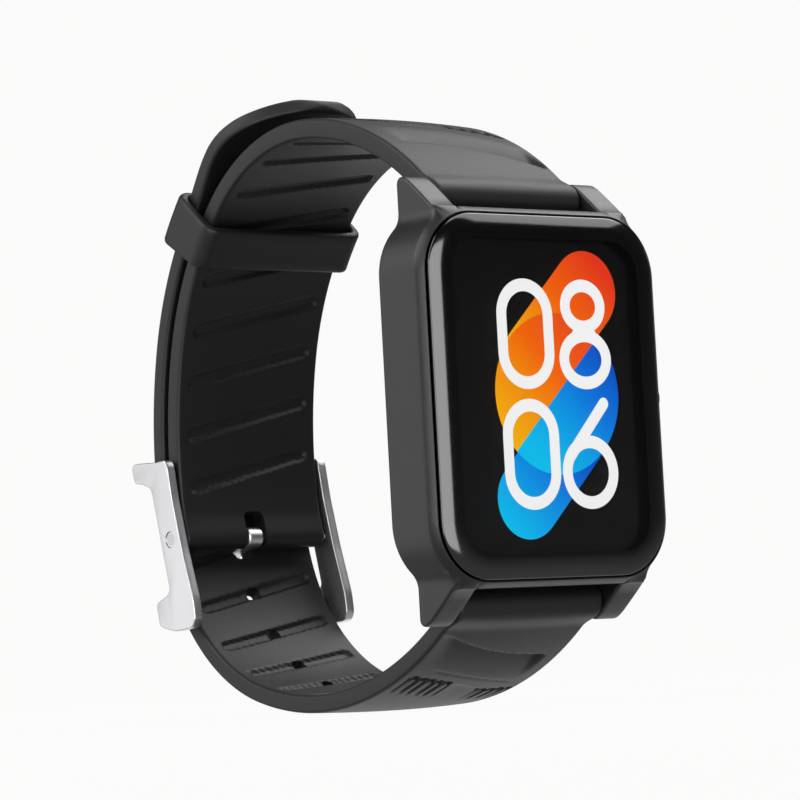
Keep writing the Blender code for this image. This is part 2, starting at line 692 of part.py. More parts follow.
def make_materials():
    table = {
        "case_grey": ((0.055, 0.055, 0.06), 0.45, 0.3),
        "cover_black": ((0.02, 0.02, 0.022), 0.5, 0.0),
        "gasket_grey": ((0.1, 0.1, 0.1), 0.8, 0.0),
        "screw_steel": ((0.55, 0.55, 0.56), 0.35, 1.0),
        "glass_black": ((0.01, 0.01, 0.012), 0.05, 0.0),
        "adhesive": ((0.05, 0.05, 0.05), 0.7, 0.0),
        "panel_black": ((0.012, 0.012, 0.015), 0.3, 0.0),
        "frame_alloy": ((0.6, 0.6, 0.62), 0.4, 1.0),
        "board_green": ((0.02, 0.12, 0.05), 0.5, 0.0),
        "shield_steel": ((0.6, 0.6, 0.6), 0.35, 1.0),
        "board_black": ((0.03, 0.03, 0.03), 0.5, 0.0),
        "led_green": ((0.2, 0.75, 0.25), 0.25, 0.0),
        "diode_dark": ((0.05, 0.03, 0.06), 0.2, 0.0),
        "battery_foil": ((0.5, 0.5, 0.52), 0.4, 0.8),
        "flex_amber": ((0.45, 0.22, 0.04), 0.4, 0.0),
        "motor_steel": ((0.5, 0.5, 0.5), 0.3, 1.0),
        "tungsten": ((0.35, 0.35, 0.36), 0.4, 1.0),
        "contact_gold": ((0.8, 0.6, 0.25), 0.25, 1.0),
        "magnet_nickel": ((0.6, 0.58, 0.55), 0.3, 1.0),
        "window_dark": ((0.015, 0.015, 0.02), 0.06, 0.0),
        "button_black": ((0.03, 0.03, 0.033), 0.35, 0.2),
        "clip_steel": ((0.5, 0.5, 0.5), 0.35, 1.0),
        "switch_steel": ((0.55, 0.55, 0.55), 0.4, 1.0),
        "plunger_white": ((0.8, 0.8, 0.78), 0.5, 0.0),
        "bar_steel": ((0.6, 0.6, 0.61), 0.3, 1.0),
        "spring_steel": ((0.5, 0.5, 0.52), 0.3, 1.0),
        "strap_grey": ((0.05, 0.05, 0.054), 0.65, 0.0),
        "buckle_satin": ((0.72, 0.72, 0.72), 0.35, 1.0),
        "pin_steel": ((0.65, 0.65, 0.65), 0.3, 1.0),
    }
    return {name: new_material(name, *values) for name, values in table.items()}


clear_scene()
PARTS = new_collection("smartwatch")
CUTTERS = new_collection("cutters")
MATERIAL = make_materials()
make_case_frame()
make_rear_cover()
make_gasket()
make_cover_screws()
make_glass()
make_inner_frame()
make_boards()
make_battery()
make_flex_cable()
make_motor()
make_charging()
make_sensor_window()
make_button()
make_spring_bar("upper", 1)
make_spring_bar("lower", -1)
make_strap_upper()
make_strap_lower()
make_keeper()
make_buckle()
make_tongue()
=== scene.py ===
"""Looks of the smartwatch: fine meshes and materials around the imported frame.

Lengths are millimetres in the row frame until mesh_piece() writes them in metres. The straps, the
case, the glass, the keeper and the buckle are rebuilt as dense meshes on the frame's own joints and
boxes. The screws, the contacts and everything inside the case stay CAD nodes with new materials.
"""

import itertools
import json
import math

import bmesh
import bpy
import numpy as np
from mathutils import Matrix, Vector


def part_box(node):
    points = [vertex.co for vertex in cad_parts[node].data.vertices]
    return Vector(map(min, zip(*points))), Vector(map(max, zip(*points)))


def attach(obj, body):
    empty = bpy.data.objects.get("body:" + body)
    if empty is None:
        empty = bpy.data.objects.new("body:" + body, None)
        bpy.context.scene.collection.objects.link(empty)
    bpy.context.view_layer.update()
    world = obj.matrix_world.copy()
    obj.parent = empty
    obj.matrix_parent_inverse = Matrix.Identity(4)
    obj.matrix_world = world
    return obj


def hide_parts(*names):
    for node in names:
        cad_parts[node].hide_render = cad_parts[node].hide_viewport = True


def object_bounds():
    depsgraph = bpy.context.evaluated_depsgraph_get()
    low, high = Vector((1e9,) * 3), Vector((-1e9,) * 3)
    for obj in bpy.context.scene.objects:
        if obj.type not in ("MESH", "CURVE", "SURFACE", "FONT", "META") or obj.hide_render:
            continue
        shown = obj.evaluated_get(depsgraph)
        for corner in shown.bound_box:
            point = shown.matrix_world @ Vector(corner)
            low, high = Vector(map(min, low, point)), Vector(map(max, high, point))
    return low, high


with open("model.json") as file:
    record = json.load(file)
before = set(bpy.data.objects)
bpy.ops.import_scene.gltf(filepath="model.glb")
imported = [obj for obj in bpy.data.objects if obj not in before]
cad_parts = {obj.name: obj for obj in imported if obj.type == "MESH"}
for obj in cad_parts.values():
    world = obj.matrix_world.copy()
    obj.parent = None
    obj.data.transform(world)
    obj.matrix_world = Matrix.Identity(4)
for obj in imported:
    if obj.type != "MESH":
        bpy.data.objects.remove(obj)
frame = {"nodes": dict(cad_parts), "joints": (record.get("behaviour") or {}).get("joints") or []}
CAD_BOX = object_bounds()
JOINTS = {joint["name"]: joint for joint in frame["joints"]}
MM = 0.001


def centre_mm(node):
    """Middle of a node's box."""
    low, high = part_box(node)
    return np.array((low + high) / 2) / MM


def low_mm(node):
    return np.array(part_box(node)[0]) / MM


def high_mm(node):
    return np.array(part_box(node)[1]) / MM


# -------------------- driving dimensions (mm)

UPPER_BAR = centre_mm("upper_bar_tube")
LOWER_BAR = centre_mm("lower_bar_tube")
PIN = np.array(JOINTS["buckle_swing"]["pos_m"]) / MM
KEEPER_CENTRE = np.array(JOINTS["keeper_slide"]["pos_m"]) / MM
BUTTON = centre_mm("side_button")

STRAP_HALF = 11.0
STRAP_EDGE = 0.42
STRAP_STEP = 0.28
UPPER_THICKNESS = 2.4
LOWER_THICKNESS = 2.2
LAYER_GAP = 1.0
BAR_BARREL = 1.95
BAR_BORE = 0.95
PIN_BARREL = 1.45
PIN_BORE = 0.8
BARREL_BLEND = 3.2
BORE_REACH = 14.0
CROWN = 0.35
CROWN_RISE = 3.0
CROWN_FADE = (26.0, 38.0)
GROOVE = {"half_length": 8.6, "radius": 0.95, "depth": 0.45}
GROOVE_WALL = 0.45
GROOVE_FIRST = 28.7
GROOVE_PITCH = 6.85
GROOVE_COUNT = 9
UPPER_HEADING = 46.8
UPPER_ARCS = ((36.1, 43.2), (24.1, 50.5), (38.8, 29.3), (55.4, 24.7))
LOWER_HEADING = -42.2315
LOWER_ARCS = ((40.7633, 58.2526), (25.0729, 63.0790))
TAIL_ARCS = ((400.0, 1.5756), (16.0, 34.0), (400.0, 0.716))
TAIL_CONCENTRIC = 17.3
TAIL_ROUND = 11.2
TAIL_THINNING = (20.0, 0.2)  # length, and loss of half thickness at the tip
TAIL_LIP = 0.9
HOLE_FIRST = 40.8
HOLE_PITCH = 6.9
HOLE_COUNT = 9
HOLE_HALF = (1.1, 0.85)
TONGUE_HOLE_HALF = (1.3, 1.65)
TONGUE_HOLE_REACH = 5.0
SLOT_LOW = (-1.55, -3.0, -4.0)
SLOT_HIGH = (1.55, 3.2, 4.0)

KEEPER_ANGLES = (32.2, 41.2)
KEEPER_OUTSIDE = (12.45, 35.9, 45.1, 1.9)  # half width, near and far radius, corner
KEEPER_INSIDE = (11.35, 37.0, 43.95, 1.0)
KEEPER_SOFT = ((0.0, 0.5), (0.09, 0.24), (0.24, 0.09), (0.5, 0.0))  # place along the arc, and inset

CASE_HALF = (18.3, 22.2)
CASE_CORNER = 7.9
GLASS_HALF = (17.25, 21.3)
GLASS_CORNER = 7.0
RECESS = (16.7, 20.5, 6.2)  # half x, half z, corner
CAVITY = (15.6, 19.4, 6.0)
POCKET = (17.47, 21.52, 7.22)
LUG_INNER = 11.2
LUG_OUTER = 14.9
LUG_FILLET = 2.6
LUG_EDGE = 0.35
LUG_TOP = 22.4
CASE_SMOOTH_ANGLE = 28.0
CASE_LEVELS = (  # depth, inset, height of the lug's top and share of the lug, from the bezel to the back
    (-10.12, 0.72, 22.4, 0), (-10.1, 0.62, 22.4, 0), (-10.0, 0.52, 22.4, 0), (-9.6, 0.3, 22.4, 0.3),
    (-9.25, 0.07, 22.4, 0.6), (-9.1, 0.02, 22.4, 0.7), (-8.9, 0, 22.4, 0.82), (-8.45, 0, 22.4, 1),
    (-7.2, 0, 23.5, 1), (-5.9, 0, 24.6, 1), (-4.9, 0, 25.42, 1), (-4.5, 0, 25.72, 1),
    (-4.1, 0, 25.98, 1), (-3.7, 0, 26.18, 1), (-3.3, 0, 26.28, 1), (-2.9, 0, 26.22, 1),
    (-2.6, 0.04, 26.05, 1), (-2.4, 0.14, 25.9, 1), (-2.27, 0.3, 25.8, 1), (-2.2, 0.5, 25.8, 1))
BUTTON_BORE = ((1.3, 14.0), (1.3, 17.3), (3.12, 17.3), (3.12, 18.1), (3.5, 18.5))
CASE_BACK = -2.2
RECESS_FLOOR = -3.7
POCKET_FLOOR = -8.9
GLASS_BACK = -9.2
GLASS_ROUND = 0.85
GLASS_EDGE = ((0.1, 0.03), (0.18, 0.1), (0.25, 0.22), (0.36, 0.45), (0.48, 0.75), (0.585, 1.05),
              (0.675, 1.35), (0.745, 1.65), (0.8, 1.95), (0.835, 2.25), (0.848, 2.45), (0.85, 2.6),
              (0.85, 2.75), (0.85, 2.9))
PRINT_DEPTHS = (-9.16, -9.19)
PICTURE_DEPTH = -9.13
NUMERAL_STROKE = 1.5
PRINT_MARGIN = 0.05
DISPLAY_HALF = (15.6, 19.6)
DISPLAY_CORNER = 3.4
COVER_BACK = -1.4
COVER_LEVELS = (  # depth, half width, half height and corner, from the inside to the back
    (-3.2, 16.45, 20.25, 6.0), (-1.95, 16.45, 20.25, 6.0), (-1.78, 16.4, 20.2, 5.95),
    (-1.62, 16.24, 20.04, 5.8), (-1.5, 16.0, 19.8, 5.55), (-1.42, 15.7, 19.5, 5.25),
    (COVER_BACK, 15.4, 19.2, 4.95))
SCREW_HOLE = ((0.75, -4.0), (0.75, -2.2), (1.35, -2.2), (1.35, 0.0))
CONTACT_HOLE = ((1.2, -4.0), (1.2, 0.0))
WINDOW_PROFILE = ((7.0, -1.7), (7.0, -0.3), (6.95, -0.18), (6.8, -0.08), (6.5, -0.02), (6.2, 0.0))
BUTTON_SIDE = ((1.0, 14.93), (1.0, 15.05), (0.75, 15.05), (0.75, 15.35), (1.15, 15.35), (1.15, 17.95),
               (2.9, 17.95), (2.9, 18.85), (2.84, 19.0), (2.7, 19.1), (2.62, 19.12), (2.56, 19.2))
BUTTON_DOME = (2.5, 19.32)

BUCKLE_TILT = 13.1
BUCKLE_INNER = 11.5
BUCKLE_OUTER = 12.8

# outlines in the buckle's own axes: outwards and up along the arm, from the pin
BUCKLE_ARM = ((-1.9, 10.0), (0.0, 10.3), (4.6, 11.5), (5.4, 11.2), (5.4, 9.0), (4.0, 8.6), (2.4, 7.6),
              (2.1, 6.9), (2.1, -6.1), (3.0, -6.6), (5.5, -6.9), (5.6, -9.8), (4.9, -10.3), (2.5, -11.4),
              (-1.2, -11.9), (-2.1, -11.0), (-2.4, -8.4), (-1.95, -1.9), (-1.85, 4.7), (-2.1, 9.2))
UPPER_CROSSBAR = ((3.9, 9.2), (5.2, 9.1), (5.4, 9.6), (5.35, 10.9), (4.9, 11.2), (3.9, 10.8))
LOWER_CROSSBAR = ((3.95, -7.2), (5.4, -7.0), (5.6, -7.4), (5.6, -9.5), (5.2, -9.8), (3.95, -9.6))
TONGUE_ARM = ((0.55, -1.2), (1.6, -1.0), (2.6, -1.05), (4.4, -1.3), (5.5, -2.3), (5.95, -3.6),
              (5.95, -6.0), (5.8, -10.1), (6.2, -10.5), (6.75, -10.1), (6.95, -6.0), (6.85, -3.0),
              (6.1, -1.3), (4.9, -0.5), (3.0, -0.2), (1.2, 0.25), (0.9, 0.8))
PIN_HALF = ((0.65, 12.16), (1.0, 12.16), (1.0, 12.68), (0.6, 12.7))

ORIGIN = (0.0, 0.0, 0.0)
SMOOTH_ANGLE = 32.0
LEAST_RADIUS = 0.0004


# -------------------- materials

def add_node(tree, kind, **settings):
    node = tree.nodes.new(kind)
    for key, value in settings.items():
        setattr(node, key, value)
    return node


def noise(tree, coords, scale, detail, roughness=0.55, stretch=(1.0, 1.0, 1.0)):
    """Noise value over the surface, finer along an axis that stretch raises."""
    mapping = add_node(tree, "ShaderNodeMapping")
    mapping.inputs["Scale"].default_value = stretch
    tree.links.new(coords, mapping.inputs["Vector"])
    node = add_node(tree, "ShaderNodeTexNoise")
    node.inputs["Scale"].default_value = scale
    node.inputs["Detail"].default_value = detail
    node.inputs["Roughness"].default_value = roughness
    tree.links.new(mapping.outputs["Vector"], node.inputs["Vector"])
    return node.outputs["Fac"]


def ranged(tree, value, low, high, start=0.3, end=0.7):
    """Value between low and high as the input runs from start to end."""
    node = add_node(tree, "ShaderNodeMapRange")
    for name, number in (("From Min", start), ("From Max", end), ("To Min", low), ("To Max", high)):
        node.inputs[name].default_value = number
    tree.links.new(value, node.inputs["Value"])
    return node.outputs["Result"]


def ramp(tree, value, stops):
    """Colour from (place, colour) stops."""
    node = add_node(tree, "ShaderNodeValToRGB")
    elements = node.color_ramp.elements
    while len(elements) < len(stops):
        elements.new(0.5)
    for element, (place, colour) in zip(elements, stops):
        element.position = place
        element.color = (*colour, 1.0)
    tree.links.new(value, node.inputs["Fac"])
    return node.outputs["Color"]


def new_material(name):
    """Material with its node tree, its shader and object coordinates."""
    mat = bpy.data.materials.new(name)
    mat.use_nodes = True
    tree = mat.node_tree
    return mat, tree, tree.nodes["Principled BSDF"], add_node(tree, "ShaderNodeTexCoord").outputs["Object"]


def surface(name, dark, light, rough, metallic=0.0, mottle=90.0, grain=2600.0, bump=0.02,
            stretch=(1.0, 1.0, 1.0), wear=None, **sockets):
    """Principled finish with mottled colour, uneven gloss, fine grain, and paler worn edges if asked."""
    mat, tree, shader, coords = new_material(name)
    cloud = noise(tree, coords, mottle, 4.0)
    colour = ramp(tree, cloud, ((0.32, dark), (0.68, light)))
    if wear:
        pointiness = add_node(tree, "ShaderNodeNewGeometry").outputs["Pointiness"]
        edge = ranged(tree, pointiness, 0.0, 1.0, 0.54, 0.62)
        mix = add_node(tree, "ShaderNodeMix", data_type="RGBA")
        tree.links.new(edge, mix.inputs["Factor"])
        tree.links.new(colour, mix.inputs["A"])
        mix.inputs["B"].default_value = (*wear, 1.0)
        colour = mix.outputs["Result"]
    tree.links.new(colour, shader.inputs["Base Color"])
    fine = noise(tree, coords, grain, 2.0, 0.6, stretch)
    tree.links.new(ranged(tree, fine, *rough), shader.inputs["Roughness"])
    shader.inputs["Metallic"].default_value = metallic
    node = add_node(tree, "ShaderNodeBump")
    node.inputs["Strength"].default_value = 1.0
    node.inputs["Distance"].default_value = bump * MM
    tree.links.new(fine, node.inputs["Height"])
    tree.links.new(node.outputs["Normal"], shader.inputs["Normal"])
    for socket, value in sockets.items():
        shader.inputs[socket.replace("_", " ")].default_value = value
    return mat


def grey(value):
    """Grey with a trace of blue."""
    return (value, value, value * 1.03)


def lit_gradient(name, direction, span, stops, strength):
    """Flat light whose colour runs along a direction in the display's plane."""
    mat, tree, shader, coords = new_material(name)
    dot = add_node(tree, "ShaderNodeVectorMath", operation="DOT_PRODUCT")
    dot.inputs[1].default_value = (direction[0], 0.0, direction[1])
    tree.links.new(coords, dot.inputs[0])
    along = ranged(tree, dot.outputs["Value"], 0.0, 1.0, span[0] * MM, span[1] * MM)
    tree.links.new(ramp(tree, along, stops), shader.inputs["Emission Color"])
    shader.inputs["Emission Strength"].default_value = strength
    shader.inputs["Base Color"].default_value = (0.0, 0.0, 0.0, 1.0)
    shader.inputs["Roughness"].default_value = 0.6
    shader.inputs["Specular IOR Level"].default_value = 0.0
    return mat


def make_materials():
    """Every finish on the watch, by the name that dress() and KEPT use."""
    return {
        "silicone": surface("silicone", grey(0.0135), grey(0.0155), (0.46, 0.56), mottle=70.0,
                            grain=5200.0, bump=0.006, Sheen_Weight=0.03, Sheen_Roughness=0.45,
                            Specular_IOR_Level=0.4),
        "case": surface("case_paint", grey(0.019), grey(0.022), (0.36, 0.46), grain=4200.0, bump=0.003,
                        wear=grey(0.045)),
        "cover": surface("rear_cover", grey(0.018), grey(0.024), (0.42, 0.56), grain=3800.0, bump=0.008),
        "glass": surface("cover_glass", (0.96, 0.97, 0.97), (1.0, 1.0, 1.0), (0.0, 0.015), mottle=40.0,
                         grain=300.0, bump=0.0, Transmission_Weight=1.0, IOR=1.5),
        "glass_edge": surface("glass_edge", grey(0.0012), grey(0.0018), (0.1, 0.14), bump=0.0, IOR=1.8),
        "print": surface("glass_print", grey(0.002), grey(0.003), (0.5, 0.6), bump=0.0),
        "panel": surface("display_panel", grey(0.0015), grey(0.0022), (0.35, 0.45), bump=0.0,
                         Specular_IOR_Level=0.1),
        "satin": surface("buckle_satin", grey(0.70), grey(0.76), (0.3, 0.42), metallic=1.0, mottle=60.0,
                         grain=900.0, bump=0.004, stretch=(1.0, 1.0, 14.0)),
        "steel": surface("bright_steel", grey(0.55), grey(0.63), (0.24, 0.36), metallic=1.0, mottle=300.0,
                         grain=2400.0, bump=0.004, wear=grey(0.75)),
        "button": surface("button_black", grey(0.022), grey(0.028), (0.28, 0.38), metallic=0.4,
                          grain=4200.0, bump=0.003, wear=grey(0.08)),
        "window": surface("sensor_window", (0.004, 0.004, 0.006), (0.007, 0.007, 0.01), (0.04, 0.08),
                          mottle=400.0, bump=0.0, Coat_Weight=0.6),
        "gold": surface("contact_gold", (0.72, 0.50, 0.16), (0.85, 0.62, 0.24), (0.2, 0.32), metallic=1.0,
                        mottle=500.0, grain=3000.0, bump=0.003, wear=(0.9, 0.75, 0.4)),
        "rubber": surface("seal_rubber", grey(0.03), grey(0.045), (0.7, 0.85), grain=3000.0, bump=0.01),
        "board": surface("circuit_board", (0.01, 0.075, 0.03), (0.016, 0.11, 0.045), (0.35, 0.5),
                         mottle=500.0, grain=1500.0),
        "dark_board": surface("sensor_board", grey(0.012), grey(0.02), (0.4, 0.55), mottle=600.0,
                              grain=1500.0, bump=0.015),
        "led": surface("led_lens", (0.12, 0.55, 0.18), (0.2, 0.72, 0.28), (0.12, 0.22), mottle=900.0,
                       bump=0.003),
        "diode": surface("diode", (0.03, 0.02, 0.035), (0.05, 0.03, 0.06), (0.1, 0.2), mottle=900.0,
                         bump=0.003),
        "foil": surface("battery_foil", grey(0.42), grey(0.5), (0.32, 0.5), metallic=0.8, mottle=220.0,
                        grain=1400.0, bump=0.03),
        "flex": surface("flex_amber", (0.34, 0.15, 0.02), (0.48, 0.22, 0.04), (0.3, 0.42), mottle=350.0,
                        grain=1200.0, bump=0.008, stretch=(8.0, 1.0, 1.0)),
        "alloy": surface("frame_alloy", grey(0.5), grey(0.6), (0.34, 0.48), metallic=1.0, mottle=200.0,
                         grain=2000.0, bump=0.01, wear=grey(0.7)),
        "tungsten": surface("tungsten", grey(0.28), grey(0.36), (0.3, 0.45), metallic=1.0, mottle=400.0,
                            bump=0.01),
        "white": surface("white_plastic", grey(0.68), grey(0.76), (0.4, 0.5), mottle=300.0, bump=0.006),
        "glue": surface("adhesive_tape", grey(0.012), grey(0.02), (0.6, 0.75), mottle=300.0, bump=0.01),
    }


# -------------------- mesh helpers

def mesh_piece(name, points, faces, angle=SMOOTH_ANGLE):
    """Object from points in mm and faces, normals out, smooth except across sharp edges."""
    mesh = bpy.data.meshes.new(name)
    mesh.from_pydata((np.asarray(points, float) * MM).tolist(), [], faces)
    bm = bmesh.new()
    bm.from_mesh(mesh)
    bmesh.ops.remove_doubles(bm, verts=bm.verts, dist=0.000002)
    bmesh.ops.recalc_face_normals(bm, faces=bm.faces)
    bm.to_mesh(mesh)
    bm.free()
    piece = place(name, mesh)
    shade(piece, angle)
    return piece


def place(name, data):
    """New object in the scene."""
    item = bpy.data.objects.new(name, data)
    bpy.context.scene.collection.objects.link(item)
    return item


def evaluated_mesh(item):
    """New mesh with the item's modifiers or curve fill applied."""
    bpy.context.view_layer.update()
    graph = bpy.context.evaluated_depsgraph_get()
    return bpy.data.meshes.new_from_object(item.evaluated_get(graph))


def shade(piece, angle):
    """Smooth shading that breaks at edges sharper than the angle in degrees."""
    piece.data.shade_smooth()
    piece.data.set_sharp_from_angle(angle=math.radians(angle))


def loft(name, rings, closed=False, angle=SMOOTH_ANGLE):
    """Skin through equal rings, closed from the last to the first or else capped at both ends."""
    rings = np.asarray(rings, float)
    rows, count = rings.shape[:2]
    last = rows if closed else rows - 1
    near = np.arange(last)[:, None] * count + np.arange(count)[None, :]
    far = ((np.arange(last) + 1) % rows)[:, None] * count + np.arange(count)[None, :]
    quads = np.stack((near, np.roll(near, -1, 1), np.roll(far, -1, 1), far), -1).reshape(-1, 4).tolist()
    if not closed:
        quads.append(list(range(count))[::-1])
        quads.append([(rows - 1) * count + i for i in range(count)])
    return mesh_piece(name, rings.reshape(-1, 3), quads, angle)


def apply_modifiers(piece, angle=SMOOTH_ANGLE):
    """Puts the evaluated mesh in place of the base mesh."""
    mesh = evaluated_mesh(piece)
    piece.modifiers.clear()
    piece.data = mesh
    shade(piece, angle)
    return piece


def boolean(piece, tools, operation="DIFFERENCE", solver="MANIFOLD", angle=SMOOTH_ANGLE):
    """Cuts or joins the tools, which are then removed."""
    for tool in tools:
        mod = piece.modifiers.new("join", "BOOLEAN")
        mod.operation = operation
        mod.solver = solver
        mod.object = tool
    apply_modifiers(piece, angle)
    for tool in tools:
        bpy.data.objects.remove(tool, do_unlink=True)


def bevel(piece, width, limit=40.0):
    """Rounds the edges that are sharper than the limit in degrees."""
    mod = piece.modifiers.new("bevel", "BEVEL")
    mod.width = width * MM
    mod.segments = 3
    mod.limit_method = "ANGLE"
    mod.angle_limit = math.radians(limit)
    return apply_modifiers(piece)


def lathe(name, profile, at, axis="X", sides=64):
    """Turned body of (radius, distance) points about X or Y through a point."""
    turns = np.linspace(0.0, 2.0 * np.pi, sides, endpoint=False)
    rings = []
    for radius, along in profile:
        radius = max(radius, LEAST_RADIUS)
        a, b = radius * np.cos(turns), radius * np.sin(turns)
        ring = np.stack((np.full(sides, along), a, b) if axis == "X" else (a, np.full(sides, along), b), 1)
        rings.append(ring + np.array(at))
    return loft(name, rings)


def cuboid(name, low, high, turn, at, edge):
    """Box between corners, turned about X by an angle in radians, moved to a place and bevelled."""
    corners = np.array(list(itertools.product(*zip(low, high))))
    spin = np.array(Matrix.Rotation(turn, 3, "X"))
    points = corners @ spin.T + np.array(at)
    faces = [(0, 1, 3, 2), (4, 6, 7, 5), (0, 4, 5, 1), (2, 3, 7, 6), (0, 2, 6, 4), (1, 5, 7, 3)]
    return bevel(mesh_piece(name, points, faces), edge)


def rounded_rect(half_x, half_z, radius, segments):
    """Counter-clockwise points from the right side's top end."""
    points = []
    for sx, sz, start in ((1, 1, 0), (-1, 1, 90), (-1, -1, 180), (1, -1, 270)):
        for i in range(segments + 1):
            turn = math.radians(start + 90.0 * i / segments)
            points.append((sx * (half_x - radius) + radius * math.cos(turn),
                           sz * (half_z - radius) + radius * math.sin(turn)))
    return np.array(points)


def plate_rings(levels, segments=14):
    """Rings facing Y from levels of (y, half x, half z, corner radius)."""
    rings = []
    for y, half_x, half_z, radius in levels:
        flat = rounded_rect(half_x, half_z, radius, segments)
        rings.append(np.stack((flat[:, 0], np.full(len(flat), y), flat[:, 1]), 1))
    return rings


def dress(piece, material, body, slot, *nodes):
    """Gives a piece its finish and its body, and hides the CAD nodes that it stands for; the slot is not
    used.
    """
    piece.data.materials.clear()
    piece.data.materials.append(MATERIALS[material])
    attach(piece, body)
    if nodes:
        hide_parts(*nodes)


# -------------------- strap centre lines

def arc_path(start, heading, arcs, step=0.25):
    """Stations (y, z, heading, distance) along tangent arcs; positive degrees turn left."""
    y, z = start
    turn = math.radians(heading)
    distance = 0.0
    stations = [(y, z, turn, distance)]
    for radius, degrees in arcs:
        length = radius * math.radians(abs(degrees))
        count = max(1, round(length / step))
        bend = math.radians(degrees) / count
        chord = 2.0 * radius * math.sin(abs(bend) / 2.0)
        for _ in range(count):
            y += chord * math.cos(turn + bend / 2.0)
            z += chord * math.sin(turn + bend / 2.0)
            turn += bend
            distance += length / count
            stations.append((y, z, turn, distance))
    return np.array(stations)


def at_distance(path, distances):
    """Stations at the given distances; beyond either end they run straight on."""
    distances = np.asarray(distances, float)
    inside = np.clip(distances, path[0, 3], path[-1, 3])
    y, z, turn = (np.interp(inside, path[:, 3], path[:, i]) for i in range(3))
    beyond = distances - inside
    return y + beyond * np.cos(turn), z + beyond * np.sin(turn), turn


UPPER_PATH = arc_path(UPPER_BAR[1:], UPPER_HEADING, [(r, -a) for r, a in UPPER_ARCS])
LAYER = UPPER_THICKNESS / 2 + LAYER_GAP + LOWER_THICKNESS / 2
LOWER_PATH = arc_path(LOWER_BAR[1:], LOWER_HEADING, [
    *LOWER_ARCS, (UPPER_ARCS[3][0] + LAYER, UPPER_ARCS[3][1]), (UPPER_ARCS[2][0] + LAYER, TAIL_CONCENTRIC),
    *TAIL_ARCS])


# -------------------- strap relief

def step_in(value):
    """Smooth 0 to 1."""
    value = np.clip(value, 0.0, 1.0)
    return value * value * (3.0 - 2.0 * value)


def segment_distance(x, s, a, b):
    """Distance in the strap's surface from points (x, s) to the segment from a to b."""
    dx, ds = b[0] - a[0], b[1] - a[1]
    share = np.clip(((x - a[0]) * dx + (s - a[1]) * ds) / (dx * dx + ds * ds), 0.0, 1.0)
    return np.hypot(x - a[0] - share * dx, s - a[1] - share * ds)


def groove(x, s, middle, rise, half_length, radius, depth):
    """Recessed slot across the strap, slanted by rise and with round ends."""
    distance = segment_distance(x, s, (-half_length, middle - rise), (half_length, middle + rise))
    return depth * step_in((radius - distance) / GROOVE_WALL)


def scoop(x, s, edge, reach, depth, low_x, high_x):
    """Hollow that drops sharply at the edge line and rises slowly away from it."""
    travel = s - edge
    drop = step_in((travel + 0.45) / 0.8) * np.clip(1.0 - travel / reach, 0.0, 1.0) ** 1.4
    ends = step_in((x - low_x) / 4.0) * step_in((high_x - x) / 1.2)
    return depth * drop * ends


def fingers(x, s, low_x, count, pitch, head, length, depth):
    """Row of short raised fingers, each with a deep groove round its head that fades to its tail."""
    index = np.clip(np.floor((x - low_x) / pitch), 0, count - 1)
    centre = low_x + (index + 0.5) * pitch
    start = head(centre)
    outer = np.hypot(x - centre, np.minimum(0.0, s - start - pitch / 2))
    inner = np.hypot(x - centre, np.minimum(0.0, s - start - pitch / 2 - 0.3))
    rim = step_in((pitch / 2 + 0.12 - outer) / 0.16)
    finger = step_in((pitch / 2 - 0.14 - inner) / 0.2)
    fade = np.clip(1.0 - (s - start) / length, 0.0, 1.0) ** 0.6
    return depth * rim * (1.0 - finger) * fade


def crease(x, s, line, low_x, high_x, width, depth):
    """Shallow groove along a line across the strap."""
    ends = step_in((x - low_x) / 2.0) * step_in((high_x - x) / 2.0)
    return depth * ends * step_in((width - np.abs(s - line)) / width)


def upper_outer(x, s):
    """Two hollows, a crease and two rows of fingers on the upper half's outer face."""
    relief = scoop(x, s, edge=9.4 - 0.27 * x - 0.013 * x * x, reach=5.2, depth=1.2, low_x=-9.6, high_x=10.6)
    relief += crease(x, s, line=16.7 - 0.2 * x, low_x=-4.0, high_x=3.0, width=0.35, depth=0.12)
    relief += scoop(x, s, edge=18.4 - 0.32 * x, reach=4.6, depth=0.3, low_x=-4.2, high_x=4.4)
    left = fingers(x, s, low_x=-9.4, count=4, pitch=1.55, head=lambda c: 18.0 - 0.32 * c,
                   length=3.2, depth=0.6)
    right = fingers(x, s, low_x=3.0, count=5, pitch=1.5, head=lambda c: 18.1 - 0.42 * c,
                    length=3.4, depth=0.6)
    return np.maximum(relief, np.maximum(left, right))


def lower_outer(x, s):
    """The same features as on the upper half, in the lower half's own places."""
    relief = scoop(x, s, edge=7.45 + 0.24 * x - 0.012 * x * x, reach=5.6, depth=1.05,
                   low_x=-11.2, high_x=8.8)
    relief += crease(x, s, line=13.0 + 0.29 * x, low_x=-8.0, high_x=9.0, width=0.35, depth=0.12)
    relief += scoop(x, s, edge=15.3 + 0.42 * x, reach=5.0, depth=0.3, low_x=-2.9, high_x=5.6)
    left = fingers(x, s, low_x=-9.5, count=5, pitch=1.5, head=lambda c: 14.6 + 0.26 * c,
                   length=4.8, depth=0.65)
    right = fingers(x, s, low_x=4.3, count=4, pitch=1.55, head=lambda c: 16.4 + 0.12 * c,
                    length=4.6, depth=0.65)
    return np.maximum(relief, np.maximum(left, right))


def upper_inner(x, s):
    """Evenly spaced slanted grooves on the upper half's inner face."""
    middles = (GROOVE_FIRST + GROOVE_PITCH * number for number in range(GROOVE_COUNT))
    return np.maximum.reduce([groove(x, s, middle, rise=-2.1, **GROOVE) for middle in middles])


def lower_inner(x, s):
    """Slanted grooves through the lower half's holes, and one before the first hole."""
    middles = (HOLE_FIRST + HOLE_PITCH * number for number in range(-1, HOLE_COUNT))
    return np.maximum.reduce([groove(x, s, middle, rise=2.0, **GROOVE) for middle in middles])


# -------------------- strap bodies

